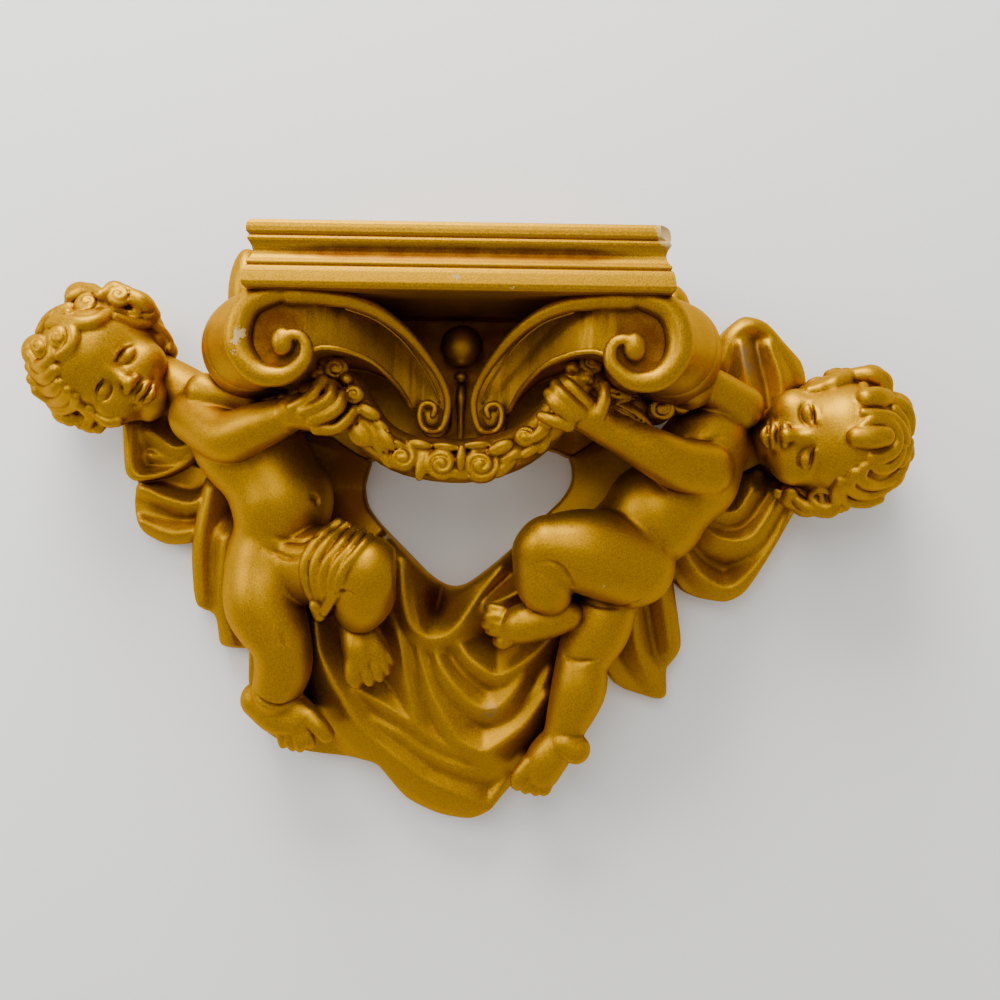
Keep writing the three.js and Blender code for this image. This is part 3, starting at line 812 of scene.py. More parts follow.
@dataclass
class Brackets:
    """The back board and the two scrolled brackets that carry the shelf."""

    eye_x: float = 76.0
    eye_z: float = -8.0
    eye_depth: float = 112.0
    curl_x: float = 14.0
    curl_depth: float = 68.0
    board: float = 28.0
    upper_rim: Sequence[Point] = (
        (-73, -110, 13, 5.3), (-68, -110, 13, 5.1), (-61, -109, 13, 4.7), (-55, -108, 12, 4.2),
        (-48, -106, 11, 3.6), (-36, -100, 7, 3.1), (-24, -90, -1, 2.6), (-15, -80, -11, 2.2),
        (-9, -73, -20, 2), (-6, -70, -29, 1.9), (-7, -69, -38, 1.8), (-10, -69, -43, 1.7),
        (-16, -69, -43, 1.6), (-19, -69, -39, 1.6), (-19, -69, -33, 1.5), (-16, -69, -30, 1.5),
        (-12, -69, -32, 1.5), (-13, -69, -36, 1.7))
    lower_rim: Sequence[Point] = (
        (-62, -111, -11, 1.1), (-58, -110, -10, 1.2), (-49, -108, -11, 1.2), (-38, -100, -15, 1.2),
        (-29, -84, -23, 1.2), (-25, -74, -29, 1.3), (-23, -70, -33, 1.3))
    lip: Sequence[Point] = (
        (-50, -107, 8, 0.7), (-37, -100, 4, 0.7), (-26, -90, -4, 0.7), (-18, -79, -14, 0.7),
        (-13, -73, -22, 0.7), (-10, -70, -30, 0.7))
    turns: Sequence[Point] = (
        (90, 23.3, 5.4), (135, 22.3, 6.0), (180, 20.2, 6.3), (225, 17.6, 5.4), (270, 14.8, 4.2),
        (315, 12.4, 3.4), (345, 10.8, 3.0), (370, 8.8, 2.8), (390, 5.8, 2.7), (400, 3.4, 2.7))
    drum: Sequence[Point] = (
        (0, 22), (16, 22), (22, 22.6), (36, 24.2), (44, 24.4), (48, 21.6), (50, 20.6), (53, 24.2),
        (58, 25), (66, 24.6), (74, 22.4), (77, 19.6), (80, 19.8), (84, 22.2), (90, 21), (97, 18.6),
        (102, 17.8), (106, 17.4))

    def band_depth(self, across: np.ndarray) -> np.ndarray:
        """Give the depth of a bracket's front, from the small curl to the volute."""
        share = np.clip((np.abs(across) - self.curl_x + 4) / 58, 0, 1)
        return self.curl_depth + (self.eye_depth - self.curl_depth) * share ** 2 * (3 - 2 * share)

    def press(self, clay: Clay) -> None:
        """Press the board and both brackets onto the clay.

        Args:
            clay: The block of the brackets.
        """
        clay.press(Panel(
            outline=((-102, 16), (102, 16), (99, -4), (88, -24), (66, -46), (46, -58), (20, -60),
                     (0, -56), (-20, -60), (-46, -58), (-66, -46), (-88, -24), (-99, -4)),
            depth=self.board), 1.0)
        clay.press(Lump((-109, -27, 24), (9.5, 14, 25)), 3)
        clay.press(Lump((102, -34, 18), (10, 12, 15)), 3)
        for side in (-1, 1):
            self.press_bracket(clay, side)
        clay.press(Lump((-1, -38, 0), (10.6, 10.6, 10.6)), 0.8)
        clay.press(Lump((-1, -40, -15), (3.6, 3.6, 2.6)), 0.8)
        clay.press(Strand([(-1, -34, -18, 2), (-1, -36, -25, 2.8), (-1, -36, -33, 1.8),
                           (-1, -36, -46, 1.5)]), 0.8)
        clay.press(Strand([(-2, -6, 4, 7), (-2, -34, 0, 7)]), 0.8)

    def press_bracket(self, clay: Clay, side: int) -> None:
        """Press one bracket onto the clay.

        Args:
            clay: The block of the brackets.
            side: -1 for the left bracket and 1 for the right one.
        """
        mirrored = [[-side * x, y, z, r] for x, y, z, r in self.upper_rim]
        below = [[-side * x, y, z, r] for x, y, z, r in self.lower_rim]
        web = [(x, z) for x, y, z, r in mirrored[:11]] + [(x, z) for x, y, z, r in reversed(below)]
        angles, reaches, radii = zip(*self.turns)
        for angle in range(340, 100, -20):
            reach = np.interp(angle, angles, np.add(reaches, radii)) - 2.5
            turn = math.radians(angle)
            web.append((side * (self.eye_x - reach * math.cos(turn)),
                        self.eye_z + reach * math.sin(turn)))
        clay.press(Roll(self.rings(side)), 0)
        clay.press(Panel(web, self.eye_depth, edge=1.2,
                         shape=lambda x, z: self.band_depth(x) - 5.0 + 0 * z), 0.8)
        curl_x, curl_z = side * self.curl_x, self.eye_z - 29
        clay.press(Strand([[curl_x, -4, curl_z, 7.6], [curl_x, -59, curl_z, 7.4]]), 1)
        lip = [[-side * x, y + 4.2, z, r] for x, y, z, r in self.lip]
        for rim in (mirrored, below, lip):
            clay.press(Strand(rim, 4), 0.9)
        self.press_volute(clay, side)

    def rings(self, side: int) -> list:
        """Work out the rings of the roll behind a volute.

        Args:
            side: -1 for the left bracket and 1 for the right one.

        Returns:
            Rows of [x, y, z, radius].
        """
        rows = []
        for depth, radius in self.drum:
            swing = 6.5 + 15.5 * math.sin(math.pi * np.clip((112 - depth) / 104, 0, 1))
            rows.append([side * (self.eye_x + swing), -depth, self.eye_z + 3.5, radius])
        return rows

    def press_volute(self, clay: Clay, side: int) -> None:
        """Press the spiral of one volute and cut the groove round its eye.

        Args:
            clay: The block of the brackets.
            side: -1 for the left bracket and 1 for the right one.
        """
        eye = (side * self.eye_x, self.eye_z)
        spiral = []
        for angle, reach, radius in self.turns:
            turn = math.radians(angle)
            lean = 115 - radius + max(0, (angle - 360) / 60)
            spiral.append([eye[0] - side * reach * math.cos(turn), -lean,
                           eye[1] + reach * math.sin(turn), radius])
        clay.press(Strand(spiral, 6), 0.6)
        clay.press(Lump((eye[0], -111.5, eye[1]), (5.2, 5.0, 6.6)), 0.5)
        groove = []
        for angle in range(20, -200, -20):
            turn = math.radians(angle)
            reach = 5.7 + 1.6 * max(0, (-angle - 60) / 120)
            groove.append([eye[0] - side * reach * math.cos(turn), -113.2 + 1.2 * (angle < 0),
                           eye[1] + 1.2 * reach * math.sin(turn), 0.9 if angle > -160 else 0.6])
        clay.carve(Strand(groove, 3), 0.6)


@dataclass
class Roll:
    """A turned form that lies along the depth, as rings of [x, y, z, radius]."""

    rings: Sequence[Point]

    def reach(self) -> tuple[np.ndarray, np.ndarray]:
        """Give the corners of the box that holds the form.

        Returns:
            The lowest and the highest corner.
        """
        rows = np.asarray(self.rings, float)
        size = rows[:, 3:] * np.array([1, 0, 1]) + 1
        return (rows[:, :3] - size).min(0), (rows[:, :3] + size).max(0)

    def distance(self, x: np.ndarray, y: np.ndarray, z: np.ndarray) -> np.ndarray:
        """Measure how far places are from the form's skin.

        Args:
            x: Places across.
            y: Places along the depth.
            z: Heights.

        Returns:
            Distances, negative inside.
        """
        rows = smooth_path(self.rings, 4)
        rows = rows[np.argsort(rows[:, 1])]
        line = y.ravel()
        middle = np.interp(line, rows[:, 1], rows[:, 0])[None, :, None]
        height = np.interp(line, rows[:, 1], rows[:, 2])[None, :, None]
        radius = np.interp(line, rows[:, 1], rows[:, 3])
        slope = np.sqrt(1 + np.gradient(radius, line) ** 2)[None, :, None]
        round_gap = (np.sqrt((x - middle) ** 2 + (z - height) ** 2) - radius[None, :, None]) / slope
        front = (rows[0, 1] - y) + 0 * x + 0 * z
        return -soft_min(-round_gap, -front, 1.5).astype(np.float32)


@dataclass
class Garland:
    """The rope of leaves and roses that hangs between the cherubs' hands."""

    line: Sequence[Point] = (
        (-96, -52, -27, 6), (-77, -58, -25, 7.5), (-57, -70, -23, 9), (-47, -74, -35, 9),
        (-38, -75, -47, 9), (-23, -72, -55, 9.6), (2, -70, -57, 10.4), (24, -72, -52, 9.6),
        (39, -75, -41, 9), (48, -76, -29, 8.6), (59, -72, -15, 8), (76, -60, -26, 7), (93, -54, -31, 7))
    roses: Sequence[Point] = (
        (-8, -79, -59, 8.4), (10, -79, -59, 9.4), (-26, -79, -56, 7.6), (-48, -84, -28, 5),
        (-57, -80, -16, 6), (-66, -79, -18, 3.8), (60, -81, -11, 6.6), (94, -65, -31, 6.6),
        (30, -83, -46, 5.2), (-92, -60, -27, 5.4), (-104, -56, -28, 4.6), (104, -58, -28, 5.6))
    buds: Sequence[Point] = (
        (51, -82, -14, 3.6), (58, -80, -19, 3.4), (50, -84, -24, 3.2), (-52, -82, -21, 3.2),
        (-60, -79, -11, 3), (-63, -79, -13, 2.8), (65, -79, -5, 3), (56, -79, -6, 3),
        (69, -78, -10, 3.2), (-84, -62, -28, 3.6))
    blades: Sequence[tuple[Point, float, float, float]] = (
        ((-45, -83, -46), 5.2, 6.8, -42), ((-41, -85, -36), 3.4, 5.8, -62),
        ((-33, -83, -48), 3.2, 6.2, -34), ((-36, -82, -42), 2.8, 5.4, -48),
        ((-29, -81, -50), 2.6, 4.6, -70), ((-18, -80, -50), 2.4, 6, -80),
        ((-6, -81, -51), 2.2, 6.4, 96), ((8, -81, -50), 2.2, 6.8, 84), ((19, -82, -51), 3.4, 6.4, 66),
        ((24, -80, -55), 2.8, 6.2, 58), ((33, -81, -52), 2.6, 5.8, 52), ((37, -85, -44), 3.2, 6, 46),
        ((41, -86, -38), 3.2, 6.4, 64), ((45, -86, -31), 2.8, 5.4, 40), ((39, -80, -49), 2.6, 5.4, 30),
        ((-49, -82, -38), 2.8, 5.6, -30), ((-41, -79, -51), 2.6, 5.8, -38),
        ((1, -83, -56), 2.2, 6.4, 2), ((-17, -80, -60), 3, 7.2, 12), ((1, -80, -63), 3, 6.4, 90),
        ((21, -79, -60), 3, 6.6, 48), ((-34, -79, -56), 2.8, 6.4, -30))
    leaves: Sequence[Sequence[Point]] = (
        ((68, -70, -29), (78, -70, -34), (92, -64, -42), 5.2),
        ((62, -76, -21), (72, -72, -25), (84, -66, -26), 4.6),
        ((69, -74, -17), (81, -68, -20), (94, -62, -24), 4.2))

    def press(self, clay: Clay) -> None:
        """Press the garland onto the clay.

        Args:
            clay: The fine block in front of the body.
        """
        clay.press(Strand(self.line), 1)
        for place, half, tip, width in self.leaves:
            self.press_leaf(clay, place, half, tip, width)
        for turn, (x, y, z, radius) in enumerate(self.roses):
            self.press_rose(clay, (x, y, z), radius, turn * 1.9)
        for middle, across, along, tilt in self.blades:
            self.press_blade(clay, middle, across, along, tilt)
        for x, y, z, radius in self.buds:
            clay.press(Lump((x, y, z), (radius, radius, radius)), 0.6)

    @staticmethod
    def press_rose(clay: Clay, middle: Point, radius: float, start: float) -> None:
        """Press a rose: a low dome with its petals cut in as a spiral.

        Args:
            clay: The fine block.
            middle: Middle of the dome.
            radius: Radius of the dome.
            start: Where the spiral begins, in radians.
        """
        x, y, z = middle
        clay.press(Lump(middle, (radius, radius * 0.66, radius * 0.92)), 0.5)
        groove = []
        for step in range(17):
            share = step / 16
            angle = start - share * 1.45 * math.tau
            reach = 0.82 - 0.64 * share
            bulge = 0.66 * radius * math.sqrt(1 - reach ** 2)
            lift = 1.2 * max(0, 0.1 - share) / 0.1
            width = max(0.65, radius * 0.15) * (1 - 0.4 * share)
            groove.append([x + reach * radius * math.cos(angle), y - bulge - lift,
                           z + 0.92 * reach * radius * math.sin(angle), width])
        clay.carve(Strand(groove, 2), 0.5)

    @staticmethod
    def press_blade(clay: Clay, middle: Point, across: float, along: float, tilt: float) -> None:
        """Press a rounded leaf or petal, with a groove along it.

        Args:
            clay: The fine block.
            middle: Middle of the leaf.
            across: Half its width.
            along: Half its length.
            tilt: How far it leans, in degrees from up towards the right.
        """
        lean = turned(tilt)
        clay.press(Lump(middle, (across, along, 2.6), lean), 0.4)
        rib = []
        for share in (-0.8, -0.4, 0.0, 0.4, 0.8):
            proud = 2.7 * math.sqrt(1 - share ** 2) + share ** 4
            spot = np.array((0.25 * across * (1 - share ** 2), share * along, proud))
            rib.append([*(np.asarray(middle) + lean @ spot), 0.55])
        clay.carve(Strand(rib, 3), 0.4)

    @staticmethod
    def press_leaf(clay: Clay, start: Point, middle: Point, tip: Point, width: float) -> None:
        """Press a pointed leaf with a groove for its midrib.

        Args:
            clay: The fine block.
            start: Where the leaf begins.
            middle: Where it is widest.
            tip: Where it ends.
            width: Its half width.
        """
        blade = []
        for place, share in ((start, 0.35), (middle, 1.0), (tip, 0.2)):
            blade.append([*place, width * share])
        clay.press(Strand(blade, 5), 0.6)
        rib = [[x, y - radius * 0.95, z, 0.5] for x, y, z, radius in blade]
        clay.carve(Strand(rib, 5), 0.4)


def moved(form: object, turn: np.ndarray, middle: Point = (0, 0, 0)) -> object:
    """Turn a form about zero and then shift it.

    Args:
        form: A lump or a strand.
        turn: The new axes as columns.
        middle: Where zero goes.

    Returns:
        The same kind of form in its new place.
    """
    if isinstance(form, Lump):
        axes = np.eye(3) if form.axes is None else form.axes
        return Lump(turn @ np.asarray(form.middle) + middle, form.half, turn @ axes)
    rows = [[*(turn @ np.asarray(row[:3]) + middle), row[3]] for row in form.joints]
    return Strand(rows, form.per_span)


@dataclass(frozen=True)
class Block:
    """Where a block of clay lies, how finely it is worked and how many triangles it may keep."""

    name: str
    low: Point
    high: Point
    finish: Finish
    triangles: int

    def clay(self) -> Clay:
        """Set out the empty block."""
        return Clay(self.low, self.high, grain(self.finish))


DRAPERY_BLOCK = Block("drapery", (-178, -46, -246), (186, 2, 34), Finish.CLOTH, 29000)
BRACKET_BLOCK = Block("brackets", (-124, -122, -74), (124, 2, 48), Finish.BODY, 26000)
LEFT_BLOCK = Block("left cherub", (-162, -96, -212), (-30, 2, 14), Finish.BODY, 27500)
RIGHT_BLOCK = Block("right cherub", (-8, -96, -228), (152, 2, 6), Finish.BODY, 27500)
FINE_BLOCK = Block("garland and hands", (-110, -104, -76), (112, -38, 16), Finish.FINE, 34000)
HEAD_BLOCK = Block("head", (-44, -44, -40), (44, 46, 40), Finish.FACE, 24000)
BODY_TAPER = 0.35


@dataclass
class Curl:
    """A curl of hair: its place on the head seen from the front, and its size."""

    right: float
    up: float
    radius: float
    hand: int = 1
    start: float = 0.0
    squeeze: float = 1.0


@dataclass
class Head:
    """A calm child's head: where it sits, how it leans and how the hair lies."""

    name: str
    middle: Point
    tilt: float
    pitch: float
    yaw: float
    scale: float
    masses: Sequence[Point]
    curls: Sequence[Curl]
    locks: Sequence[Sequence[Point]]
    hair: Sequence[Point] = (0, 5.5, -7, 31, 31.5, 27.5)
    nape: float = -0.72
    small_curls: int = 70
    small_radius: float = 5.6

    def build(self, modeller: Modeller) -> bpy.types.Object:
        """Work the head as a block of its own and set it in its place.

        Args:
            modeller: Collects the finished meshes.

        Returns:
            The head's mesh.
        """
        clay = HEAD_BLOCK.clay()
        nod = turned().T @ turned(0, self.pitch, self.yaw)
        self.press_face(clay, nod)
        self.press_hair(clay)
        axes = turned(self.tilt) * self.scale
        return modeller.cast(clay, self.name, HEAD_BLOCK.triangles, axes, self.middle)

    def press_face(self, clay: Clay, nod: np.ndarray) -> None:
        """Press the skull and the face.

        Args:
            clay: The head's block: right, up and forward.
            nod: How the face is turned in it.
        """
        def press(form: object, blend: float) -> None:
            clay.press(moved(form, nod), blend)

        def carve(form: object, blend: float) -> None:
            clay.carve(moved(form, nod), blend)

        press(Lump((0, 4, 0), (26.5, 28, 26.5)), 1)
        press(Lump((0, 9, 9.5), (22, 17, 16.5)), 5)
        press(Lump((0, -13, 5.5), (21.5, 19, 19)), 6)
        for side in (-1, 1):
            press(Lump((11.5 * side, -15.5, 14.5), (10, 9, 8.8)), 5)
        press(Lump((0, -21, 17.5), (8.5, 7.5, 6.5)), 4)
        press(Lump((0, -29, 14), (7.5, 5.5, 6.5)), 4)
        press(Lump((0, -31, 7), (12, 5, 9)), 5)
        for side in (-1, 1):
            carve(Lump((9.8 * side, -6.4, 28.6), (6.6, 4.2, 4.8)), 4)
            press(Strand([(3.2 * side, -2.2, 23.6, 1.2), (9.5 * side, 0.4, 22.6, 1.5),
                          (16 * side, -1.8, 17.6, 1.2)]), 3)
            press(Lump((10.2 * side, -7.2, 18.4), (5.4, 4.5, 5.4)), 1.2)
        press(Strand([(0, -2.5, 23.8, 1.8), (0, -9, 25.2, 2.1), (0, -14, 27.4, 2.9)]), 3)
        press(Lump((0, -15, 28.0), (3.4, 3.0, 3.0)), 1.2)
        for side in (-1, 1):
            press(Lump((3.6 * side, -15.9, 25.8), (2.3, 2.0, 2.4)), 1)
            carve(Lump((1.9 * side, -18.3, 27.0), (0.8, 0.6, 0.9)), 0.8)
        press(Strand([(-6.2, -23, 22.4, 0.6), (-3.2, -21.6, 24.6, 1.5), (0, -22.2, 25.4, 1.6),
                      (3.2, -21.6, 24.6, 1.5), (6.2, -23, 22.4, 0.6)]), 0.9)
        press(Strand([(-5, -24.6, 22.6, 0.7), (0, -26.1, 24.0, 2.3), (5, -24.6, 22.6, 0.7)]), 1.0)
        mouth = [(x, -23.4 - 0.6 * math.cos(x / 3), 25, 0.62) for x in range(-8, 9, 2)]
        self.engrave(clay, nod, mouth, 0.7)
        carve(Strand([(-3.5, -28.6, 22, 0.7), (0, -29, 22.4, 0.9), (3.5, -28.6, 22, 0.7)]), 1.6)
        for side in (-1, 1):
            carve(Lump((8.2 * side, -23, 22.8), (1.0, 1.3, 1.2)), 2.4)
            self.carve_lids(clay, nod, side)

    @staticmethod
    def engrave(clay: Clay, nod: np.ndarray, rows: Sequence[Point], blend: float,
                press: bool = False) -> None:
        """Cut a line into the skin, or lay a fine ridge on it.

        Args:
            clay: The head's block.
            nod: How the face is turned in it.
            rows: The line on the face as right, up, forward and radius.
            blend: How far its edges are rounded.
            press: Whether a ridge is laid instead of a cut.
        """
        line = []
        for (x, y, z, radius), lift in zip(rows, groove_lift(len(rows))):
            right, up, _ = nod @ np.array([x, y, z])
            rise = -radius * (0.3 + lift) if press else radius * lift
            line.append([right, up, clay.front_of(right, up) + rise, radius])
        if press:
            clay.press(Strand(line, 3), blend)
        else:
            clay.carve(Strand(line, 3), blend)

    def carve_lids(self, clay: Clay, nod: np.ndarray, side: int) -> None:
        """Cut the line of a closed eye and the crease of its lid.

        Args:
            clay: The head's block.
            nod: How the face is turned in it.
            side: -1 for one eye and 1 for the other.
        """
        lash, crease, brow = [], [], []
        for share in np.linspace(-1, 1, 11):
            across = side * (10.2 + 5.6 * share)
            arch = 1 - share ** 2
            forward = 19 + 5 * math.sqrt(arch)
            lash.append((across, -8.0 - 2.0 * arch - 0.3 * share, forward, 0.8))
            crease.append((across, -6.6 + 2.7 * arch - 0.6 * share, forward, 0.7))
            brow.append((across, -5.4 + 3.0 * arch - 0.6 * share, forward, 0.9))
        self.engrave(clay, nod, brow, 0.9, press=True)
        self.engrave(clay, nod, crease, 0.6)
        self.engrave(clay, nod, lash, 0.5)

    def press_hair(self, clay: Clay) -> None:
        """Press the cap of hair, its curls and its locks.

        Args:
            clay: The head's block.
        """
        across, up, forward, *half = self.hair
        clay.press(Lump((across, up, forward), half), 1.5)
        for right, height, front, radius in self.masses:
            clay.press(Lump((right, height, front), (radius, radius, radius)), 3)
        for number in range(self.small_curls):
            rise = 1 - 2 * (number + 0.5) / self.small_curls
            angle = number * math.pi * (3 - math.sqrt(5))
            way = np.array([math.sqrt(1 - rise * rise) * math.cos(angle), rise,
                            math.sqrt(1 - rise * rise) * math.sin(angle)])
            if way[2] > 0.12 or way[1] < self.nape:
                continue
            place = np.array([across, up, forward]) + way * half
            self.press_spiral(clay, place, way, self.small_radius, 1 if number % 2 else -1, angle)
        fresh = [(curl, clay.front_of(curl.right, curl.up)) for curl in self.curls]
        laid = [(lock, [clay.front_of(row[0], row[1]) for row in lock]) for lock in self.locks]
        for lock, fronts in laid:
            rows = [[a, b, front - 0.1 * r, 1.1 * r] for (a, b, r), front in zip(lock, fronts)]
            clay.press(Strand(rows, 5), 0.5)
        for curl, front in fresh:
            place = np.array([curl.right, curl.up, front])
            dx, dy = (curl.right - across) / half[0], (curl.up - up) / half[1]
            way = np.array([0.6 * dx, 0.6 * dy, 1.0])
            self.press_spiral(clay, place, way, curl.radius, curl.hand, curl.start, curl.squeeze)

    @staticmethod
    def press_spiral(clay: Clay, place: Point, way: Point, radius: float, hand: int,
                     start: float, squeeze: float = 1.0) -> None:
        """Press one curl: a dome with a spiral groove cut into it.

        Args:
            clay: The head's block.
            place: Middle of the curl.
            way: Where the curl faces.
            radius: Radius of the curl.
            hand: 1 where it winds one way and -1 where it winds the other.
            start: Where the groove begins, in radians.
            squeeze: How narrow the curl is across, for its height.
        """
        normal = np.asarray(way, float) / np.linalg.norm(way)
        side = np.cross((0, 1.0, 0.02), normal)
        side /= np.linalg.norm(side)
        axes = np.column_stack([side, np.cross(normal, side), normal])
        clay.press(Lump(place, (radius * squeeze, radius, radius * 0.6), axes), 0.6)
        groove = []
        for step in range(17):
            share = step / 16
            angle = start + hand * share * 1.55 * math.tau
            reach = 0.9 - 0.78 * share
            lift = 0.3 * max(0, 0.12 - share) / 0.12
            bulge = radius * (0.6 * math.sqrt(1 - reach ** 2) + 0.02 + lift)
            spot = np.array([squeeze * radius * reach * math.cos(angle),
                             radius * reach * math.sin(angle), bulge])
            groove.append([*(place + axes @ spot), radius * 0.1])
        clay.carve(Strand(groove, 2), 0.5)


LEFT_HEAD = Head(
    "left head", (-176, -38, -11.1), -57.0, 15.6, 1.6, 1.0,
    masses=[(29.1, -1.1, -3, 8), (26.7, -7, -6, 6.5), (23.5, -13.1, -8, 6), (21.3, -18.5, -10, 5.5),
            (20.2, 28.2, 0, 8), (25.3, 14.1, 7, 6.5), (32.1, 1.5, 4, 5), (30.5, 10.1, 2, 8),
            (-12.9, 30.1, 0, 9), (-24.4, 19.5, -2, 8), (-30.3, 4.6, -3, 7), (-27.3, -7.4, -6, 7)],
    curls=[Curl(20, 19, 6.8, 1, 3.6), Curl(31.1, 9.5, 6, -1, 0), Curl(0.4, 16.4, 6, -1, 1),
           Curl(-8.7, 24.3, 7, 1, 2, 0.8), Curl(-31.6, -0.1, 5, 1, 1), Curl(10.6, 22.9, 2.6, 1, 1),
           Curl(33.3, -3.7, 5, 1, 1)],
    locks=[
        [(6.2, 25.1, 2.6), (8.1, 18.8, 3.2), (11.3, 11.7, 3.6), (16.5, 7, 3.4), (22.2, 7, 2.6)],
        [(18.2, 29.5, 3), (24.9, 24.8, 4.2), (27.1, 16, 3)],
        [(25.1, 7.7, 2.2), (26.5, 1.7, 3), (30.2, -1.3, 3), (34.8, 3.1, 2.6)],
        [(22.4, 3.5, 2.2), (24.3, -3.2, 3), (28.4, -6.6, 2.8), (31.6, -5.4, 2)],
        [(29.7, 15.4, 2.4), (33.8, 15.4, 3), (35, 8.5, 3)],
        [(34.5, 5.9, 4), (35, -0.6, 4.6), (32.6, -6, 4)],
        [(29.1, -8.3, 2.4), (28.1, -12.9, 2.8), (25.7, -17.7, 2.6), (23.2, -20.4, 1.8)],
        [(-4.2, 33.1, 2.6), (2, 32.4, 3.4), (7.4, 29.5, 3.6), (13.4, 26, 3)],
        [(2.1, 26.9, 2.6), (8, 25.9, 3), (11.7, 22.3, 2.6)],
        [(3.6, 25.5, 2.4), (7.3, 17.2, 2.8), (5.4, 10.9, 3), (0.3, 8.6, 2.8), (-6.3, 11.1, 2.6)],
        [(-15.7, 29.7, 3), (-17.7, 23, 3.2), (-15.1, 16.2, 3.2), (-9, 14.1, 2.8), (-4.4, 17.2, 2.4)],
        [(-21.1, 28.5, 3), (-21.7, 19.3, 3.4), (-18.6, 12.8, 3.4), (-13.4, 9.9, 2.8)],
        [(-25.6, 24.3, 3), (-25.5, 15.3, 3.4), (-22, 8.2, 3.4), (-17.5, 5.5, 2.6)],
        [(-28.8, 19.1, 3), (-28.2, 9.7, 3.4), (-23.6, 3.1, 3.2), (-18.1, 0.9, 2.4)],
        [(-30.4, 11.3, 3), (-30.3, 4.8, 3.2), (-23.5, -1.8, 3), (-19, -2.9, 2.4)],
        [(-22, -4.7, 2.6), (-24.3, -8.6, 3), (-30, -9, 2.8)],
        [(-20.7, -9.8, 2.4), (-23.8, -13.4, 3), (-28.8, -13.5, 2.6)],
        [(-21.3, -15.2, 2.6), (-21, -20.6, 3), (-18.1, -24.6, 2.4)],
        [(-27.7, -5.4, 2.4), (-31.7, -6.2, 2.4)]])

RIGHT_HEAD = Head(
    "right head", (182, -40, -42.5), 91.3, 27.0, 1.1, 1.06,
    nape=-0.4,
    masses=[(27.4, -2.6, -2, 8.5), (27.3, -0.4, 0, 6.5), (28.9, -9.6, -7, 8), (26.8, -17.6, -6, 6),
            (-22.7, 0.8, -4, 6), (-26.5, 5.4, -2, 7), (-27.1, 16.1, 0, 8), (-13.9, 27.2, 0, 9),
            (22, 15, -2, 9), (14, 24.7, 0, 9)],
    curls=[Curl(26.2, -18.7, 3.6, 1, 2), Curl(26.1, -23.8, 2.6, 1, 0)],
    locks=[
        [(-20.6, -14.3, 2.2), (-21.8, -9, 3), (-23.7, -3.9, 3.8), (-26, 1.5, 4.2)],
        [(-26.7, 2.3, 3.4), (-28.5, 6.9, 3.8), (-29, 13.3, 4.2), (-26.9, 19.3, 4.2),
         (-22.5, 20.4, 3.8)],
        [(-18, 17.4, 4.4), (-17.4, 12.3, 5), (-16.8, 7.5, 4.4)],
        [(0.7, 2.5, 4.4), (0.4, 8.5, 5), (-0.4, 14.7, 4.4)],
        [(-3.9, 4.1, 2), (-7, 9.3, 2.5), (-6.3, 17.1, 2.8), (-0.8, 22.3, 2.8), (5.5, 20.8, 2.8),
         (9.2, 14.3, 2.6), (8.8, 9.4, 2)],
        [(-10.3, 5.3, 2), (-9.7, 11.1, 2.6), (-8.7, 19.1, 2.8), (-3.9, 25, 2.8), (1.1, 27.9, 2.6)],
        [(11.1, 9.7, 2.2), (13.5, 13.7, 2.8), (12.9, 19.2, 2.8), (8.7, 23.8, 2.8), (4, 26, 2.2)],
        [(13.5, 6.8, 2.4), (17.4, 6, 2.8), (20.1, 10.1, 2.8), (20.4, 16.4, 2.8), (17.8, 23.7, 2.8),
         (13, 29.1, 2.6), (7.7, 31.8, 2.2)],
        [(15.8, 3.5, 2.4), (21, 2.2, 2.8), (24.2, 7, 2.8), (25.1, 14, 2.8), (22.5, 21.1, 2.8),
         (17.6, 27.4, 2.6)],
        [(21.6, 0.1, 2.6), (26.1, 2.4, 2.8), (28.2, 7.2, 2.8), (28.5, 15, 2.8), (26.5, 21, 2.6)],
        [(-17.3, 23.4, 3), (-14.8, 28.8, 3.4), (-9.7, 31.6, 3.4), (-4.4, 31.6, 3)],
        [(-13, 22, 2.4), (-8.6, 25.8, 2.8), (-3, 28.5, 2.6)],
        [(0.9, 31, 3), (5.5, 29.9, 3), (10.2, 26.9, 2.6)],
        [(-22.9, 8.4, 2.4), (-19.8, 7.3, 2.4)],
        [(24.6, -3.1, 1.6), (23.6, -7.1, 1.7), (25.7, -9.6, 1.8), (29.4, -8.8, 2), (32.2, -3.7, 2.4),
         (30.5, -0.4, 2.4)],
        [(24.7, -6.5, 1.2), (28.7, -5.5, 1.6)],
        [(29.1, -15.1, 2.6), (32.2, -10.2, 3), (33.6, -2.4, 3), (31.7, 0.8, 2.6)],
        [(19.4, -1.5, 2), (23.4, -1.7, 2.4), (28.5, 0.1, 2.6)]])


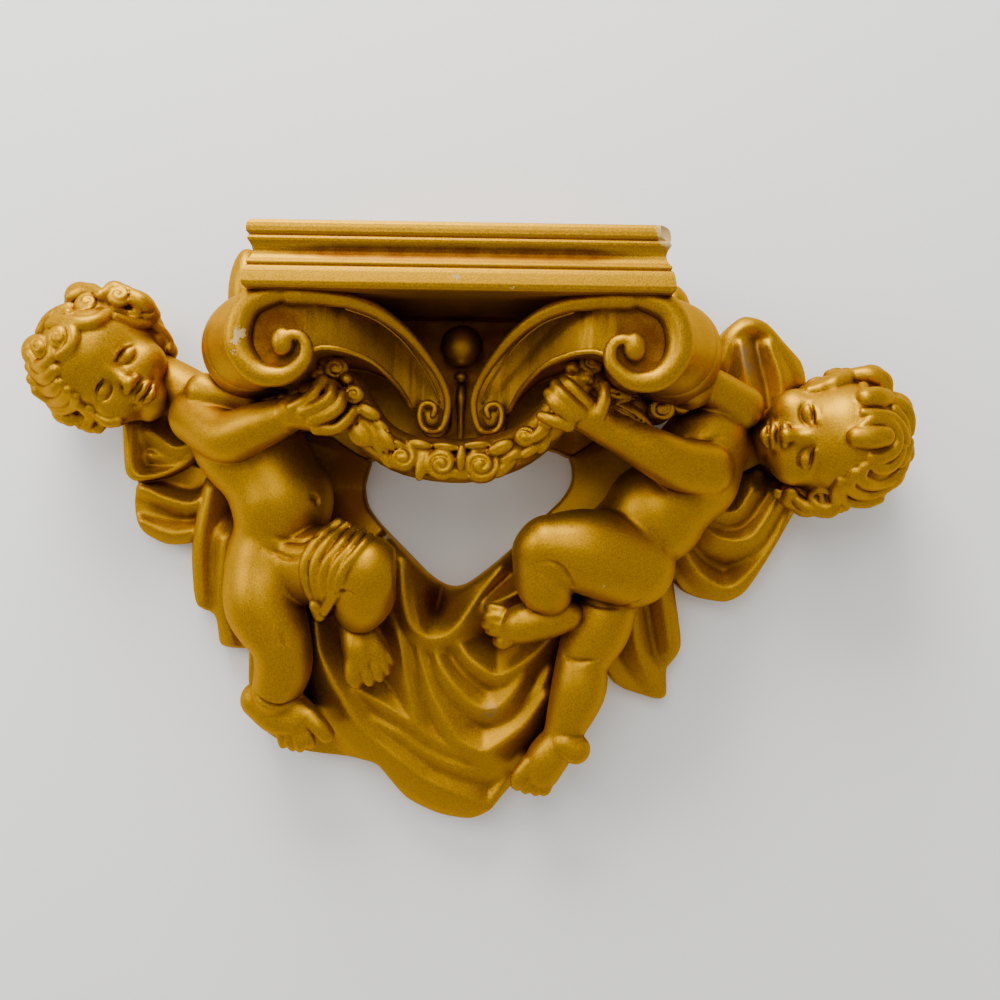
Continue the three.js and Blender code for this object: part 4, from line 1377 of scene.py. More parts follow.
@dataclass
class Cherub:
    """A child's body, as the forms it is built from."""

    lumps: Sequence[Lump]
    bars: Sequence[Sequence[Point]]
    toes: Sequence[Sequence[Point]]
    hand: Sequence[Sequence[Point]]
    creases: Sequence[Sequence[Point]] = ()
    folds: Sequence[Sequence[Point]] = ()

    def press_body(self, clay: Clay) -> None:
        """Press the body onto its block and carve its creases.

        Args:
            clay: The cherub's block.
        """
        for lump in self.lumps:
            clay.press(lump, 6)
        for bar in self.bars:
            clay.press(Strand(bar, 9), 2.2)
        for bar in self.folds:
            line = smooth_path(bar, 3)
            laid = [[x, min(y, clay.skin_at(x, z)), z, radius] for x, y, z, radius in line]
            clay.press(Strand(laid, 2), 0.7)
        for bar in self.toes:
            clay.press(Strand(bar), 0.8)
        for crease in self.creases:
            line = smooth_path(crease, 3)
            laid = [[x, clay.skin_at(x, z) - radius * lift, z, radius]
                    for (x, z, radius), lift in zip(line, groove_lift(len(line)))]
            clay.carve(Strand(laid, 2), 1.6)

    def press_hand(self, clay: Clay) -> None:
        """Press the hand that holds the garland.

        Args:
            clay: The fine block.
        """
        arm, *fingers = self.hand
        clay.press(Strand(arm), 1.5)
        for finger in fingers:
            clay.press(Strand(finger), 1.0)


LEFT_CHERUB = Cherub(
    lumps=[
        Lump((-127, -36, -35), (15, 15, 17)),
        Lump((-110, -38, -47), (22, 24, 25), turned(-20).T[:, [0, 2, 1]]),
        Lump((-98, -38, -58), (24, 24, 24)), Lump((-88, -38, -77), (25, 26, 27)),
        Lump((-93, -36, -103), (22, 22, 20))],
    bars=[
        [(-157, -30, -14, 12), (-141, -34, -22, 12.5), (-125, -40, -32, 14)],
        [(-129, -45, -37, 13.5), (-111, -62, -47, 12.5), (-95, -72, -43, 11), (-80, -78, -38, 8.6)],
        [(-124, -52, -25, 9), (-101, -58, -30, 7)],
        [(-95, -38, -112, 21), (-95, -42, -128, 19.5), (-87, -44, -145, 15), (-86, -40, -158, 14),
         (-90, -36, -171, 12)],
        [(-100, -27, -177, 9.5), (-90, -31, -184, 9.5), (-81, -34, -186, 7.6)],
        [(-87, -31, -176, 8.5), (-78, -34, -182, 7.5), (-73, -35, -185, 5.4)],
        [(-79, -40, -108, 20), (-57, -58, -107, 17.5), (-42, -68, -108, 15.5)],
        [(-43, -66, -113, 15.5), (-45, -60, -121, 15), (-47, -54, -127, 12.6), (-48, -48, -131, 9.6)]],
    toes=[
        [(-50, -43, -139, 8.4), (-48, -46, -147, 8.6), (-48, -46, -154, 7)],
        [(-48, -43, -140, 8), (-42, -45, -148, 7.6), (-39, -45, -151, 5)],
        [(-51, -48, -155, 4.4), (-51, -48, -161, 4.4), (-50, -46, -164, 3.8)],
        [(-46, -48, -155, 3.2), (-44, -48, -161, 3.2), (-43, -46, -164, 2.7)],
        [(-42, -48, -153, 3), (-39, -48, -159, 3), (-38, -46, -162, 2.5)],
        [(-38, -48, -151, 2.8), (-36, -47, -156, 2.8), (-35, -45, -159, 2.4)],
        [(-36, -46, -149, 2.6), (-34, -46, -153, 2.5), (-33, -44, -155, 2.2)],
        [(-73, -37, -183, 5), (-68, -38, -188, 4.8), (-65, -36, -192, 4.2)],
        [(-76, -36, -189, 3.4), (-74, -36, -194, 3.3), (-73, -34, -197, 2.8)],
        [(-80, -36, -190, 3.2), (-78, -36, -196, 3.2), (-78, -34, -199, 2.7)],
        [(-84, -35, -190, 3.1), (-83, -34, -196, 3.1), (-82, -32, -199, 2.6)],
        [(-88, -34, -189, 3), (-87, -33, -195, 2.9), (-87, -31, -198, 2.5)]],
    hand=[
        [(-89, -76, -41, 9), (-80, -79, -38, 7.8), (-73, -83, -36, 8.4), (-64, -84, -37, 8.6),
         (-59, -83, -39, 6.4)],
        [(-69, -82, -27, 5), (-64, -84, -28, 5.4), (-60, -84, -32, 6), (-57, -82, -36, 6)],
        [(-75, -89, -35, 3.2), (-69, -91, -32, 3.2), (-65, -91, -28, 3.1), (-62, -88, -22, 2.8)],
        [(-70, -91, -37, 3.2), (-63, -93, -34, 3.2), (-58, -92, -30, 3.1), (-58, -88, -24, 2.8)],
        [(-65, -91, -40, 3.2), (-59, -92, -38, 3.2), (-54, -91, -34, 3.1), (-53, -88, -29, 2.7)],
        [(-64, -88, -44, 3.2), (-56, -88, -44, 3.1), (-51, -87, -40, 3), (-48, -85, -36, 2.6)]],
    creases=[
        [(-70, -75, 1.2), (-69, -76, 1.2), (-68, -78, 1.2)],
        [(-90, -94, 0.8), (-81, -96, 0.9), (-73, -96, 0.9), (-66, -92, 0.8)],
        [(-93, -99, 0.8), (-87, -102, 1), (-80, -104, 1), (-74, -103, 0.8)],
        [(-56, -119, 0.8), (-51, -118, 0.8), (-46, -120, 0.8)],
        [(-84, -139, 0.7), (-83, -142, 0.9), (-81, -146, 0.7)],
        [(-100, -171, 1.2), (-94, -175, 1.2), (-86, -177, 1.2), (-77, -174, 1.2)]],
    folds=[
        [(-57, -62, -87, 2.6), (-66, -62, -95, 2.8), (-71, -60, -106, 3), (-70, -57, -117, 3),
         (-67, -50, -127, 2.6)],
        [(-53, -64, -88, 2.4), (-61, -68, -96, 2.7), (-66, -66, -106, 2.8), (-66, -61, -118, 2.8),
         (-66, -51, -128, 2.4)],
        [(-49, -66, -90, 2.3), (-55, -72, -98, 2.5), (-61, -71, -107, 2.7), (-63, -65, -119, 2.7),
         (-65, -52, -129, 2.4)],
        [(-45, -68, -91, 2.2), (-50, -76, -99, 2.4), (-56, -75, -107, 2.6), (-59, -69, -118, 2.6),
         (-64, -54, -129, 2.3)],
        [(-41, -70, -93, 2), (-46, -79, -100, 2.2), (-52, -78, -108, 2.4), (-56, -72, -118, 2.4),
         (-63, -56, -129, 2.2)],
        [(-67, -52, -126, 3.4), (-66, -50, -131, 3.2)]])

RIGHT_CHERUB = Cherub(
    lumps=[
        Lump((131, -38, -31), (11, 12, 13)), Lump((118, -42, -47), (21, 21, 21)),
        Lump((112, -42, -61), (24, 24, 25)), Lump((95, -42, -80), (25, 25, 25)),
        Lump((79, -42, -99), (24, 25, 25))],
    bars=[
        [(158, -18, -41, 9), (144, -26, -45, 11), (127, -38, -49, 14)],
        [(136, -44, -28, 11), (116, -54, -19, 10), (108, -60, -22, 9)],
        [(116, -60, -59, 13.5), (103, -68, -57, 12.5), (90, -76, -52, 11), (77, -80, -46, 9),
         (67, -83, -42, 7.6)],
        [(83, -50, -105, 21), (62, -60, -99, 20.5), (42, -66, -96, 14.5)],
        [(38, -64, -99, 13), (40, -61, -113, 13.4), (43, -58, -119, 11)],
        [(72, -36, -119, 17), (68, -38, -136, 16.5), (61, -38, -153, 13), (59, -38, -168, 13.5),
         (53, -34, -187, 10)],
        [(52, -33, -193, 9.5), (45, -32, -202, 10.4), (42, -30, -209, 9.6)]],
    toes=[
        [(52, -51, -130, 7.6), (43, -52, -132, 9.2), (32, -52, -134, 9.8), (26, -50, -136, 8)],
        [(21, -51, -128, 2.7), (16, -50, -127, 2.6), (14, -48, -127, 2.2)],
        [(20, -52, -131, 2.8), (15, -51, -131, 2.7), (13, -49, -131, 2.3)],
        [(20, -52, -135, 2.9), (16, -51, -134, 2.8), (13, -49, -135, 2.4)],
        [(21, -52, -138, 3), (17, -50, -138, 2.9), (15, -48, -138, 2.5)],
        [(25, -50, -141, 4.4), (22, -50, -143, 4.2), (20, -48, -143, 3.6)],
        [(53, -38, -194, 7.4), (58, -38, -197, 7.4)],
        [(36, -33, -205, 4.6), (31, -32, -212, 4.6), (30, -30, -216, 3.8)],
        [(37, -33, -211, 3.2), (35, -32, -217, 3.1), (34, -30, -219, 2.5)],
        [(41, -33, -213, 3.2), (39, -32, -218, 3), (39, -30, -220, 2.5)],
        [(45, -33, -213, 3), (44, -32, -218, 2.9), (43, -30, -220, 2.4)]],
    hand=[
        [(74, -80, -44, 9), (65, -84, -41, 7.6), (58, -87, -36, 8.2), (52, -86, -35, 7)],
        [(57, -92, -31, 3.4), (50, -93, -24, 3.1), (47, -91, -21, 2.6)],
        [(54, -94, -35, 3.4), (46, -96, -28, 3.2), (43, -93, -23, 2.6)],
        [(51, -94, -37, 3.4), (43, -96, -32, 3.2), (40, -93, -27, 2.6)],
        [(49, -92, -41, 3.4), (42, -93, -39, 3.1), (37, -91, -37, 2.5)],
        [(63, -93, -36, 3.2), (65, -93, -29, 3), (65, -90, -23, 2.6)]],
    creases=[
        [(88, -121, 0.8), (78, -125, 0.8), (67, -125, 0.8), (57, -121, 0.8)],
        [(36, -104, 0.8), (43, -103, 1.1), (49, -107, 1.2), (53, -115, 1.2)],
        [(68, -151, 0.8), (62, -152, 1.1), (57, -152, 1.1), (51, -150, 0.8)],
        [(107, -44, 0.7), (115, -45, 0.7), (124, -43, 0.7)]])


@dataclass
class Cloth:
    """The drapery behind and between the cherubs."""

    panels: Sequence[Panel] = (
        Panel([(-175, -35), (-174, -47), (-173, -65), (-167, -69), (-152, -66), (-140, -60),
               (-122, -41), (-128, -18), (-153, -19)], 13, [
            Fold([(-170, -40, 20, 9), (-167, -65, 20, 8), (-147, -63, 20, 8), (-132, -50, 18, 7)]),
            Fold([(-159, -43, 21, 9), (-145, -52, 22, 9), (-132, -45, 20, 8)]),
            Fold([(-159, -55, 19, 6), (-146, -58, 19, 6)])]),
        Panel([(-168, -68), (-170, -78), (-169, -87), (-165, -95), (-153, -101), (-139, -100),
               (-133, -88), (-129, -62), (-146, -57)], 9, [
            Fold([(-164, -72, 16, 7), (-152, -77, 17, 7), (-139, -80, 18, 7), (-130, -75, 17, 6)]),
            Fold([(-165, -89, 13, 8), (-149, -95, 15, 9), (-135, -93, 16, 8)])]),
        Panel([(-133, -62), (-139, -101), (-138, -124), (-136, -132), (-126, -136), (-125, -151),
               (-122, -153), (-106, -154), (-94, -128), (-102, -61)], 9, [
            Fold([(-128, -72, 20, 9), (-133, -100, 19, 9), (-132, -130, 16, 10)]),
            Fold([(-120, -97, 21, 9), (-122, -128, 18, 9), (-117, -150, 15, 9)]),
            Fold([(-113, -107, 20, 8), (-111, -128, 19, 9), (-108, -149, 15, 8)])]),
        Panel([(128, 6), (133, 14), (141, 21), (153, 18), (163, 7), (172, -1),
               (175, -11), (171, -32), (146, -47), (115, -33)], 15, [
            Fold([(130, -4, 24, 9), (136, 10, 25, 9), (148, 15, 24, 8), (161, 3, 22, 8),
                  (172, -14, 19, 8)]),
            Fold([(139, 5, 27, 8), (142, -10, 27, 9), (150, -30, 25, 9)]),
            Fold([(154, 5, 25, 8), (160, -15, 26, 9), (157, -35, 24, 9)])]),
        Panel([(173, -73), (165, -86), (157, -100), (145, -121), (136, -126), (122, -124),
               (112, -120), (99, -97), (116, -53), (167, -47)], 12, [
            Fold([(159, -73, 24, 9), (146, -92, 26, 9), (131, -93, 24, 9), (119, -84, 20, 8)]),
            Fold([(167, -75, 21, 8), (155, -99, 22, 9), (138, -118, 20, 9), (122, -112, 19, 9),
                  (111, -96, 18, 8)]),
            Fold([(146, -68, 27, 8), (137, -80, 27, 8), (123, -76, 25, 8)])]),
        Panel([(91, -89), (107, -105), (110, -125), (114, -148), (109, -157), (106, -161),
               (107, -175), (102, -177), (76, -169), (66, -131)], 9, [
            Fold([(97, -104, 22, 8), (103, -124, 20, 9), (108, -150, 17, 9)]),
            Fold([(87, -125, 20, 8), (90, -148, 18, 9), (101, -173, 13, 9)])]),
        Panel([(-50, -71), (-45, -86), (-32, -99), (-16, -114), (-5, -119), (4, -117),
               (19, -106), (35, -90), (50, -75), (56, -64), (53, -55), (57, -44),
               (70, -38), (111, -43), (116, -73), (96, -110), (72, -166), (52, -197),
               (37, -212), (25, -223), (16, -234), (6, -239), (-10, -237), (-27, -229),
               (-37, -215), (-42, -209), (-61, -208), (-81, -206), (-101, -197), (-110, -174),
               (-108, -128), (-119, -77), (-110, -41), (-69, -38), (-52, -41), (-47, -56)],
              10, [
            Fold([(-30, -106, 30, 9), (-29, -122, 31, 9), (-25, -137, 31, 9), (-18, -144, 31, 9),
                  (-11, -145, 31, 9), (-3, -141, 31, 9), (3, -133, 30, 9), (11, -120, 28, 9),
                  (17, -109, 24, 8)]),
            Fold([(-24, -118, 27, 6), (-22, -133, 29, 6), (-18, -143, 30, 6)]),
            Fold([(13, -128, 30, 3), (21, -125, 33, 3), (30, -120, 34, 3)], 4),
            Fold([(9, -125, 27, 4), (14, -117, 29, 4), (20, -109, 28, 5)], 5),
            Fold([(-2, -143, 27, 9), (3, -153, 29, 10), (10, -159, 30, 10), (18, -163, 30, 10),
                  (25, -161, 30, 10), (35, -154, 29, 10), (46, -143, 27, 9)]),
            Fold([(-7, -149, 24, 7), (2, -159, 25, 7), (11, -167, 25, 7), (20, -168, 25, 7),
                  (29, -162, 25, 7), (35, -157, 24, 7)]),
            Fold([(-13, -148, 27, 9), (-10, -158, 29, 10), (-3, -168, 30, 11), (6, -177, 30, 11),
                  (14, -180, 30, 11), (21, -178, 30, 11), (28, -169, 29, 10), (34, -158, 27, 9)]),
            Fold([(4, -181, 23, 7), (12, -185, 24, 8), (21, -185, 24, 8), (31, -179, 24, 8),
                  (41, -169, 24, 8), (45, -160, 23, 8)]),
            Fold([(-23, -145, 27, 9), (-18, -160, 28, 10), (-14, -172, 29, 11), (-7, -185, 30, 11),
                  (0, -195, 30, 11), (9, -200, 30, 11), (14, -201, 30, 11), (22, -196, 29, 11),
                  (33, -187, 27, 10), (43, -173, 25, 9)]),
            Fold([(-36, -130, 26, 9), (-30, -147, 28, 10), (-27, -164, 29, 10), (-23, -180, 29, 10),
                  (-20, -189, 29, 10), (-10, -197, 28, 10), (0, -202, 27, 10), (10, -205, 26, 9)]),
            Fold([(-60, -168, 24, 9), (-45, -175, 27, 10), (-34, -181, 28, 10), (-21, -189, 29, 9)]),
            Fold([(-55, -176, 22, 8), (-42, -187, 25, 9), (-29, -194, 26, 10), (-17, -202, 26, 11),
                  (-5, -208, 26, 11), (7, -211, 25, 11), (15, -211, 24, 10), (24, -204, 22, 10),
                  (37, -191, 20, 9)]),
            Fold([(-73, -138, 26, 9), (-71, -152, 27, 10), (-66, -163, 28, 11), (-59, -175, 28, 12),
                  (-52, -187, 28, 12), (-42, -197, 27, 12), (-29, -207, 27, 12), (-17, -216, 26, 12),
                  (-4, -222, 25, 12), (8, -227, 23, 11), (15, -231, 20, 8)]),
            Fold([(26, -215, 18, 8), (19, -224, 20, 8), (16, -232, 20, 7)]),
            Fold([(-82, -184, 14, 10), (-64, -196, 15, 10), (-45, -207, 14, 8)])]),
    )

    gap: Sequence[Point] = (
        (-51, -69), (-49, -80), (-41, -88), (-32, -97), (-22, -108), (-14, -116), (-6, -120),
        (1, -119), (8, -114), (18, -105), (28, -96), (37, -85), (47, -77), (54, -69),
        (56, -61), (55, -55), (50, -51), (43, -49), (34, -48), (-2, -50), (-36, -51),
        (-45, -55), (-49, -61), (-51, -69))

    def open_gap(self, clay: Clay) -> None:
        """Cut the heart-shaped gap through a block."""
        rim = smooth_path(self.gap, 3)[:-1]
        clay.carve(Panel(rim, 60, edge=0.1), 2.5)

    def press(self, clay: Clay) -> None:
        """Press the drapery onto the clay.

        Args:
            clay: The block of the drapery.
        """
        for panel in self.panels:
            clay.press(panel, 1.2)


@dataclass(frozen=True)
class GiltPlaster:
    """Gold paint over plaster, with painted shading in the hollows, painted shadows in a few places and
    a painted light on the ball under the shelf, and chipped in places.
    """

    bright: Sequence[float] = (0.43, 0.212, 0.002, 1)
    # the gold as it looks in shadow, painted into the hollows and the shadowed spots
    painted_shade_colour: Sequence[float] = (0.125, 0.037, 0.001, 1)
    plaster: Sequence[float] = (0.50, 0.33, 0.13, 1)
    worn: Sequence[float] = (0.25, 0.16, 0.09, 1)
    edge: Sequence[float] = (1, 0.72, 0.26, 1)
    roughness: float = 0.40
    metallic: float = 0.95
    flake_scale: float = 1500.0
    cloud_scale: float = 130.0
    ragged_scale: float = 700.0
    bump_strength: float = 0.35
    bump_depth: float = 0.0003
    chips: Sequence[Point] = (
        (94, -118, 42.5, 10.2), (-94, -114, -5, 2.4), (-96, -114, -8, 1.8), (-96, -113, -13, 1.6),
        (-1, -120, 20, 1.3), (22, -120, 15, 0.8), (-37, -14, -96, 3.4), (68, -72, -113, 1.4),
        (166, -62, -57, 1.5))
    wear: Sequence[Point] = (
        (144, -26, -2, 8), (147, -26, 2, 6), (-33, -34, -145, 4), (-77, -30, -171, 5),
        (16, -30, -181, 4))
    # Painted light: the ball under the shelf is brought back to the open gold, as if lit, over its
    # painted shading.
    painted_light_on_ball: Point = (-1, -42, 0, 13)
    # Painted shadows: spots darkened to the shadow colour where the casting lies in shadow beside the
    # bodies and the gap.
    painted_shadows: Sequence[Point] = (
        (-58, -16, -60, 17), (-58, -14, -79, 15), (-45, -28, -50, 10), (65, -22, -50, 17),
        (71, -30, -42, 12), (51, -28, -47, 9), (-16, -16, -127, 8))

    def make(self) -> bpy.types.Material:
        """Build the material.

        Returns:
            The finished material.
        """
        material = bpy.data.materials.new("gilt plaster")
        material.use_nodes = True
        tree = material.node_tree
        shader = tree.nodes["Principled BSDF"]
        place = tree.nodes.new("ShaderNodeTexCoord").outputs["Object"]
        # Painted shading: the gold darkens towards its shadow colour where the casting is shut in, and
        # a cloud adds random tone.
        close = self.span(tree, self.attribute(tree, "near"), 0.50, 0.72)
        broad = self.span(tree, self.attribute(tree, "wide"), 0.46, 0.78)
        painted_shade_share = self.combine(tree, "MAXIMUM", close, broad)
        flake = self.noise(tree, place, self.flake_scale, 3)
        cloud = self.noise(tree, place, self.cloud_scale, 3)
        shift = self.span(tree, cloud, 0.25, 0.75, -0.2, 0.08, "LINEAR")
        painted_shade_share = self.combine(tree, "ADD", painted_shade_share, shift)
        tone = self.mix(tree, painted_shade_share, self.bright, self.painted_shade_colour)
        speckle = self.span(tree, flake, 0.3, 0.7, 0.7, 1.24, "LINEAR")
        gilt = self.mix(tree, 1.0, tone, speckle, "MULTIPLY")
        torn = self.noise(tree, place, self.ragged_scale, 4)
        ragged = self.span(tree, torn, 0.2, 0.8, -0.0016, 0.0016, "LINEAR")
        # paint the shadow spots
        gilt = self.mix(tree, self.spots(tree, place, self.painted_shadows, ragged, 0.6), gilt, self.painted_shade_colour)
        # paint light on the ball
        gilt = self.mix(tree, self.spots(tree, place, (self.painted_light_on_ball,), ragged, 0.1), gilt, self.bright)
        rubbed = self.spots(tree, place, self.wear, ragged, 0.5)
        rubbed = self.combine(tree, "MULTIPLY", rubbed, self.span(tree, cloud, 0.35, 0.6, 0.2, 0.7))
        gilt = self.mix(tree, rubbed, gilt, self.worn)
        bare = self.spots(tree, place, self.chips, ragged, 0.1)
        colour = self.mix(tree, bare, gilt, self.plaster)
        shader.inputs["Specular Tint"].default_value = self.edge
        tree.links.new(colour, shader.inputs["Base Color"])
        tree.links.new(self.span(tree, bare, 0, 1, self.metallic, 0.0), shader.inputs["Metallic"])
        gloss = self.span(tree, flake, 0.2, 0.8, self.roughness - 0.05, self.roughness + 0.12, "LINEAR")
        dull = self.combine(tree, "MAXIMUM", gloss, self.span(tree, bare, 0, 1, 0, 0.85))
        tree.links.new(dull, shader.inputs["Roughness"])
        bump = tree.nodes.new("ShaderNodeBump")
        bump.inputs["Strength"].default_value = self.bump_strength
        bump.inputs["Distance"].default_value = self.bump_depth
        tree.links.new(flake, bump.inputs["Height"])
        tree.links.new(bump.outputs["Normal"], shader.inputs["Normal"])
        return material

    def spots(self, tree: bpy.types.NodeTree, place: bpy.types.NodeSocket, marks: Sequence[Point],
              ragged: bpy.types.NodeSocket, soft: float) -> bpy.types.NodeSocket:
        """Mark round places with a ragged edge.

        Args:
            tree: The material's nodes.
            place: The socket with the place on the casting.
            marks: Middles and radii, in millimetres.
            ragged: The socket with how far the edge wanders.
            soft: Which share of a radius the edge fades over.

        Returns:
            The socket with 1 inside the marks and 0 outside.
        """
        inside = None
        for x, y, z, radius in marks:
            away = tree.nodes.new("ShaderNodeVectorMath")
            away.operation = "DISTANCE"
            away.inputs[1].default_value = (x * MM, y * MM, z * MM)
            tree.links.new(place, away.inputs[0])
            wander = self.combine(tree, "ADD", away.outputs["Value"], ragged)
            spot = self.span(tree, wander, radius * (1 + soft) * MM, radius * (1 - soft) * MM)
            inside = spot if inside is None else self.combine(tree, "MAXIMUM", inside, spot)
        return inside

    @staticmethod
    def attribute(tree: bpy.types.NodeTree, name: str) -> bpy.types.NodeSocket:
        """Read a value that is stored on the vertices.

        Args:
            tree: The material's nodes.
            name: The name of the attribute.

        Returns:
            The socket with the value.
        """
        node = tree.nodes.new("ShaderNodeAttribute")
        node.attribute_name = name
        return node.outputs["Fac"]

    @staticmethod
    def noise(tree: bpy.types.NodeTree, place: bpy.types.NodeSocket, scale: float,
              detail: float) -> bpy.types.NodeSocket:
        """Make a cloudy value that varies over the casting.

        Args:
            tree: The material's nodes.
            place: The socket with the place on the casting.
            scale: How many clouds fit in a metre.
            detail: How many finer layers there are.

        Returns:
            The socket with the value.
        """
        node = tree.nodes.new("ShaderNodeTexNoise")
        node.inputs["Scale"].default_value = scale
        node.inputs["Detail"].default_value = detail
        tree.links.new(place, node.inputs["Vector"])
        return node.outputs["Fac"]

    @staticmethod
    def combine(tree: bpy.types.NodeTree, how: str, first: bpy.types.NodeSocket,
                second: bpy.types.NodeSocket) -> bpy.types.NodeSocket:
        """Combine two values.

        Args:
            tree: The material's nodes.
            how: The name of the sum.
            first: One value.
            second: The other value.

        Returns:
            The socket with the result.
        """
        node = tree.nodes.new("ShaderNodeMath")
        node.operation = how
        tree.links.new(first, node.inputs[0])
        tree.links.new(second, node.inputs[1])
        return node.outputs["Value"]

    @staticmethod
    def mix(tree: bpy.types.NodeTree, share: object, first: object, second: object,
            how: str = "MIX") -> bpy.types.NodeSocket:
        """Mix two colours, each a fixed colour or a socket.

        Args:
            tree: The material's nodes.
            share: How much of the second colour shows.
            first: One colour.
            second: The other colour.
            how: The kind of mixture.

        Returns:
            The socket with the mixed colour.
        """
        node = tree.nodes.new("ShaderNodeMix")
        node.data_type = "RGBA"
        node.blend_type = how
        factor, colour_a, colour_b, colour_result = 0, 6, 7, 2
        for number, value in ((factor, share), (colour_a, first), (colour_b, second)):
            if isinstance(value, bpy.types.NodeSocket):
                tree.links.new(value, node.inputs[number])
            else:
                node.inputs[number].default_value = value
        return node.outputs[colour_result]

    @staticmethod
    def span(tree: bpy.types.NodeTree, source: bpy.types.NodeSocket, low: float, high: float,
             bottom: float = 0.0, top: float = 1.0, how: str = "SMOOTHSTEP") -> bpy.types.NodeSocket:
        """Stretch a value between two levels to run between two others.

        Args:
            tree: The material's nodes.
            source: The socket that gives the value.
            low: What becomes the bottom.
            high: What becomes the top.
            bottom: Lowest result.
            top: Highest result.
            how: How the result runs between them.

        Returns:
            The socket with the stretched value.
        """
        node = tree.nodes.new("ShaderNodeMapRange")
        node.interpolation_type = how
        for name, value in (("From Min", low), ("From Max", high), ("To Min", bottom), ("To Max", top)):
            node.inputs[name].default_value = value
        tree.links.new(source, node.inputs["Value"])
        return node.outputs["Result"]


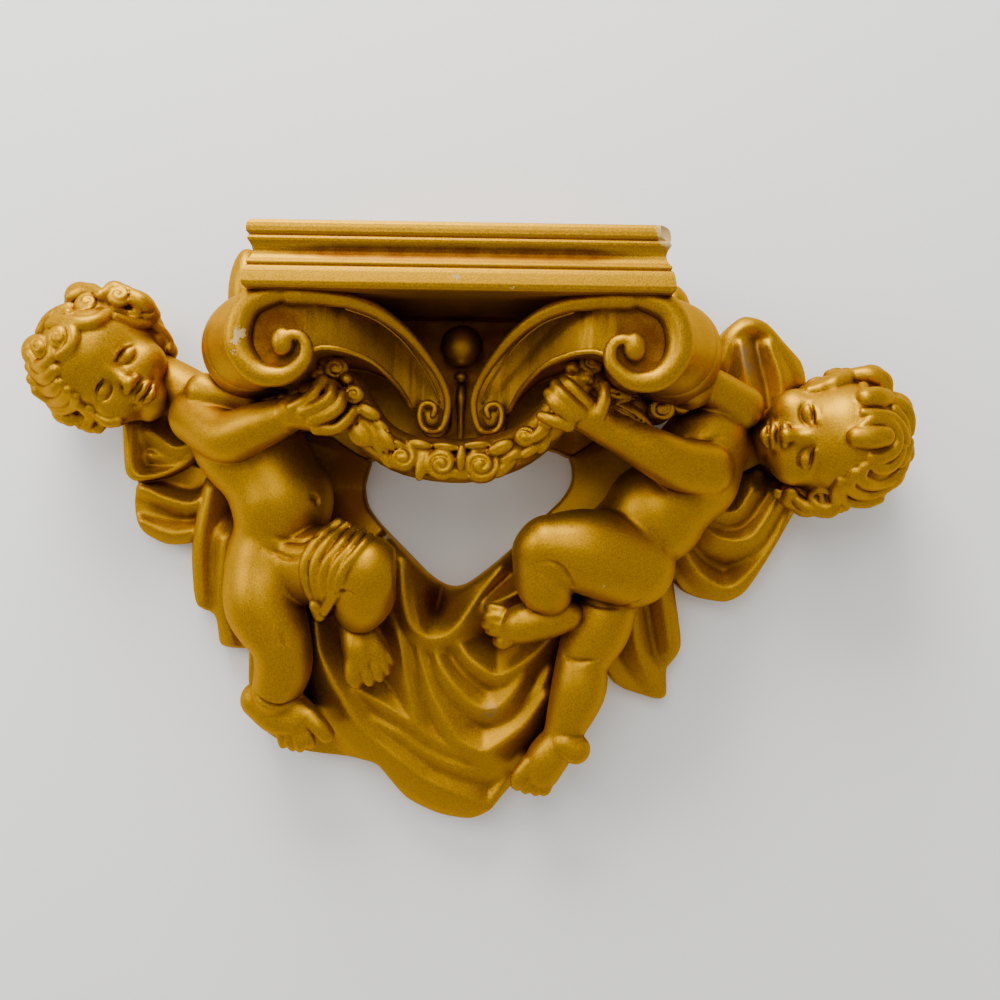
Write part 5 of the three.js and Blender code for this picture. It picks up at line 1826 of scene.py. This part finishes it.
@dataclass
class Studio:
    """The camera, the wall behind the shelf and the soft light."""

    place: Point = (0.019, -0.640, -0.075)
    roll: float = -0.9
    lens: float = 44.03
    sensor: float = 36.0
    near: float = 0.01
    wall_place: Point = (0, 0.002, 0)
    wall_colour: Sequence[float] = (0.94, 0.94, 0.93, 1)
    wall_roughness: float = 0.9
    cells: Sequence[int] = (96, 64)
    small_cell: float = 1e-4
    middle_size: Sequence[float] = (0.4608, 0.3072)
    middle_height: float = -0.098
    spread: float = 7.0
    lamps: Sequence[tuple] = (
        ("top light", (-0.25, -0.55, 1.1), (27, -12, 0), 0.7, 27),
        ("front light", (-0.2, -1.6, 0.7), (68, 0, -8), 0.9, 9),
        ("left light", (-1.2, -0.7, 0.4), (76, 0, -60), 0.6, 8))
    air_colour: Sequence[float] = (1, 0.98, 0.95, 1)
    air_strength: float = 0.71

    def set_camera(self) -> None:
        """Put the camera where the photograph was taken from."""
        bpy.ops.object.camera_add(location=self.place,
                                  rotation=(math.pi / 2, math.radians(self.roll), 0))
        camera = bpy.context.object
        camera.data.lens = self.lens
        camera.data.sensor_width = self.sensor
        camera.data.clip_start = self.near
        bpy.context.scene.camera = camera

    def hang_wall(self, hollows: Hollows) -> None:
        """Put a pale wall behind the shelf, open behind the casting and seen from its front only.

        Args:
            hollows: Knows where the casting's flat back is.
        """
        columns, rows = self.cells
        bpy.ops.mesh.primitive_grid_add(x_subdivisions=columns, y_subdivisions=rows, size=1,
                                        location=self.wall_place, rotation=(math.pi / 2, 0, 0))
        wall = bpy.context.object
        wall.name = "wall"
        places = np.empty(len(wall.data.vertices) * 3)
        wall.data.vertices.foreach_get("co", places)
        places = places.reshape(-1, 3)
        border = np.abs(places[:, :2]).max(1) > 0.499
        places[:, :2] *= self.middle_size
        places[border, :2] *= self.spread
        places[:, 1] += self.middle_height
        wall.data.vertices.foreach_set("co", places.ravel())
        bpy.ops.object.mode_set(mode="EDIT")
        bpy.ops.mesh.select_all(action="DESELECT")
        bpy.ops.object.mode_set(mode="OBJECT")
        for face in wall.data.polygons:
            across, up, _ = face.center
            face.select = face.area < self.small_cell and hollows.covers(across / MM, up / MM)
        bpy.ops.object.mode_set(mode="EDIT")
        bpy.ops.mesh.delete(type="FACE")
        bpy.ops.object.mode_set(mode="OBJECT")
        wall.data.materials.append(self.paint())

    def paint(self) -> bpy.types.Material:
        """Build the wall's paint, clear when it is seen from behind.

        Returns:
            The finished material.
        """
        paint = bpy.data.materials.new("wall paint")
        paint.use_nodes = True
        tree = paint.node_tree
        shader = tree.nodes["Principled BSDF"]
        shader.inputs["Base Color"].default_value = self.wall_colour
        shader.inputs["Roughness"].default_value = self.wall_roughness
        behind = tree.nodes.new("ShaderNodeNewGeometry").outputs["Backfacing"]
        tree.links.new(GiltPlaster.span(tree, behind, 0, 1, 1, 0, "LINEAR"), shader.inputs["Alpha"])
        return paint

    def light(self) -> None:
        """Light the shelf softly from above and from the front."""
        for name, place, turn, size, power in self.lamps:
            bpy.ops.object.light_add(type="AREA", location=place,
                                     rotation=[math.radians(angle) for angle in turn])
            lamp = bpy.context.object
            lamp.name = name
            lamp.data.size = size
            lamp.data.energy = power
        world = bpy.data.worlds.new("room")
        bpy.context.scene.world = world
        world.use_nodes = True
        air = world.node_tree.nodes["Background"]
        air.inputs["Color"].default_value = self.air_colour
        air.inputs["Strength"].default_value = self.air_strength


def model(modeller: Modeller) -> bpy.types.Object:
    """Work every block and join the meshes.

    Args:
        modeller: Collects the finished meshes.

    Returns:
        The whole casting.
    """
    drapery = Cloth()
    for block, form in ((DRAPERY_BLOCK, drapery), (BRACKET_BLOCK, Brackets())):
        clay = block.clay()
        form.press(clay)
        drapery.open_gap(clay)
        clay.flatten_back()
        modeller.cast(clay, block.name, block.triangles)

    for block, cherub in ((LEFT_BLOCK, LEFT_CHERUB), (RIGHT_BLOCK, RIGHT_CHERUB)):
        body = block.clay()
        cherub.press_body(body)
        body.root(BODY_TAPER)
        body.flatten_back()
        modeller.cast(body, block.name, block.triangles)

    fine = FINE_BLOCK.clay()
    Garland().press(fine)
    for cherub in (LEFT_CHERUB, RIGHT_CHERUB):
        cherub.press_hand(fine)
    modeller.cast(fine, FINE_BLOCK.name, FINE_BLOCK.triangles)

    for head in (LEFT_HEAD, RIGHT_HEAD):
        head.build(modeller)
    MouldedShelf().build(modeller)
    return modeller.join("casting")


def main() -> None:
    """Model the shelf, finish it and light it."""
    logging.basicConfig(level=logging.INFO)
    studio = Studio()
    studio.set_camera()

    modeller = Modeller()
    whole = model(modeller)
    modeller.hollows.note(whole)
    whole.data.materials.clear()
    whole.data.materials.append(GiltPlaster().make())
    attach(whole, "root")
    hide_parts(NODE)
    log.info("casting: %d triangles", sum(len(face.vertices) - 2 for face in whole.data.polygons))

    studio.hang_wall(modeller.hollows)
    studio.light()


if __name__ == "__main__":
    main()
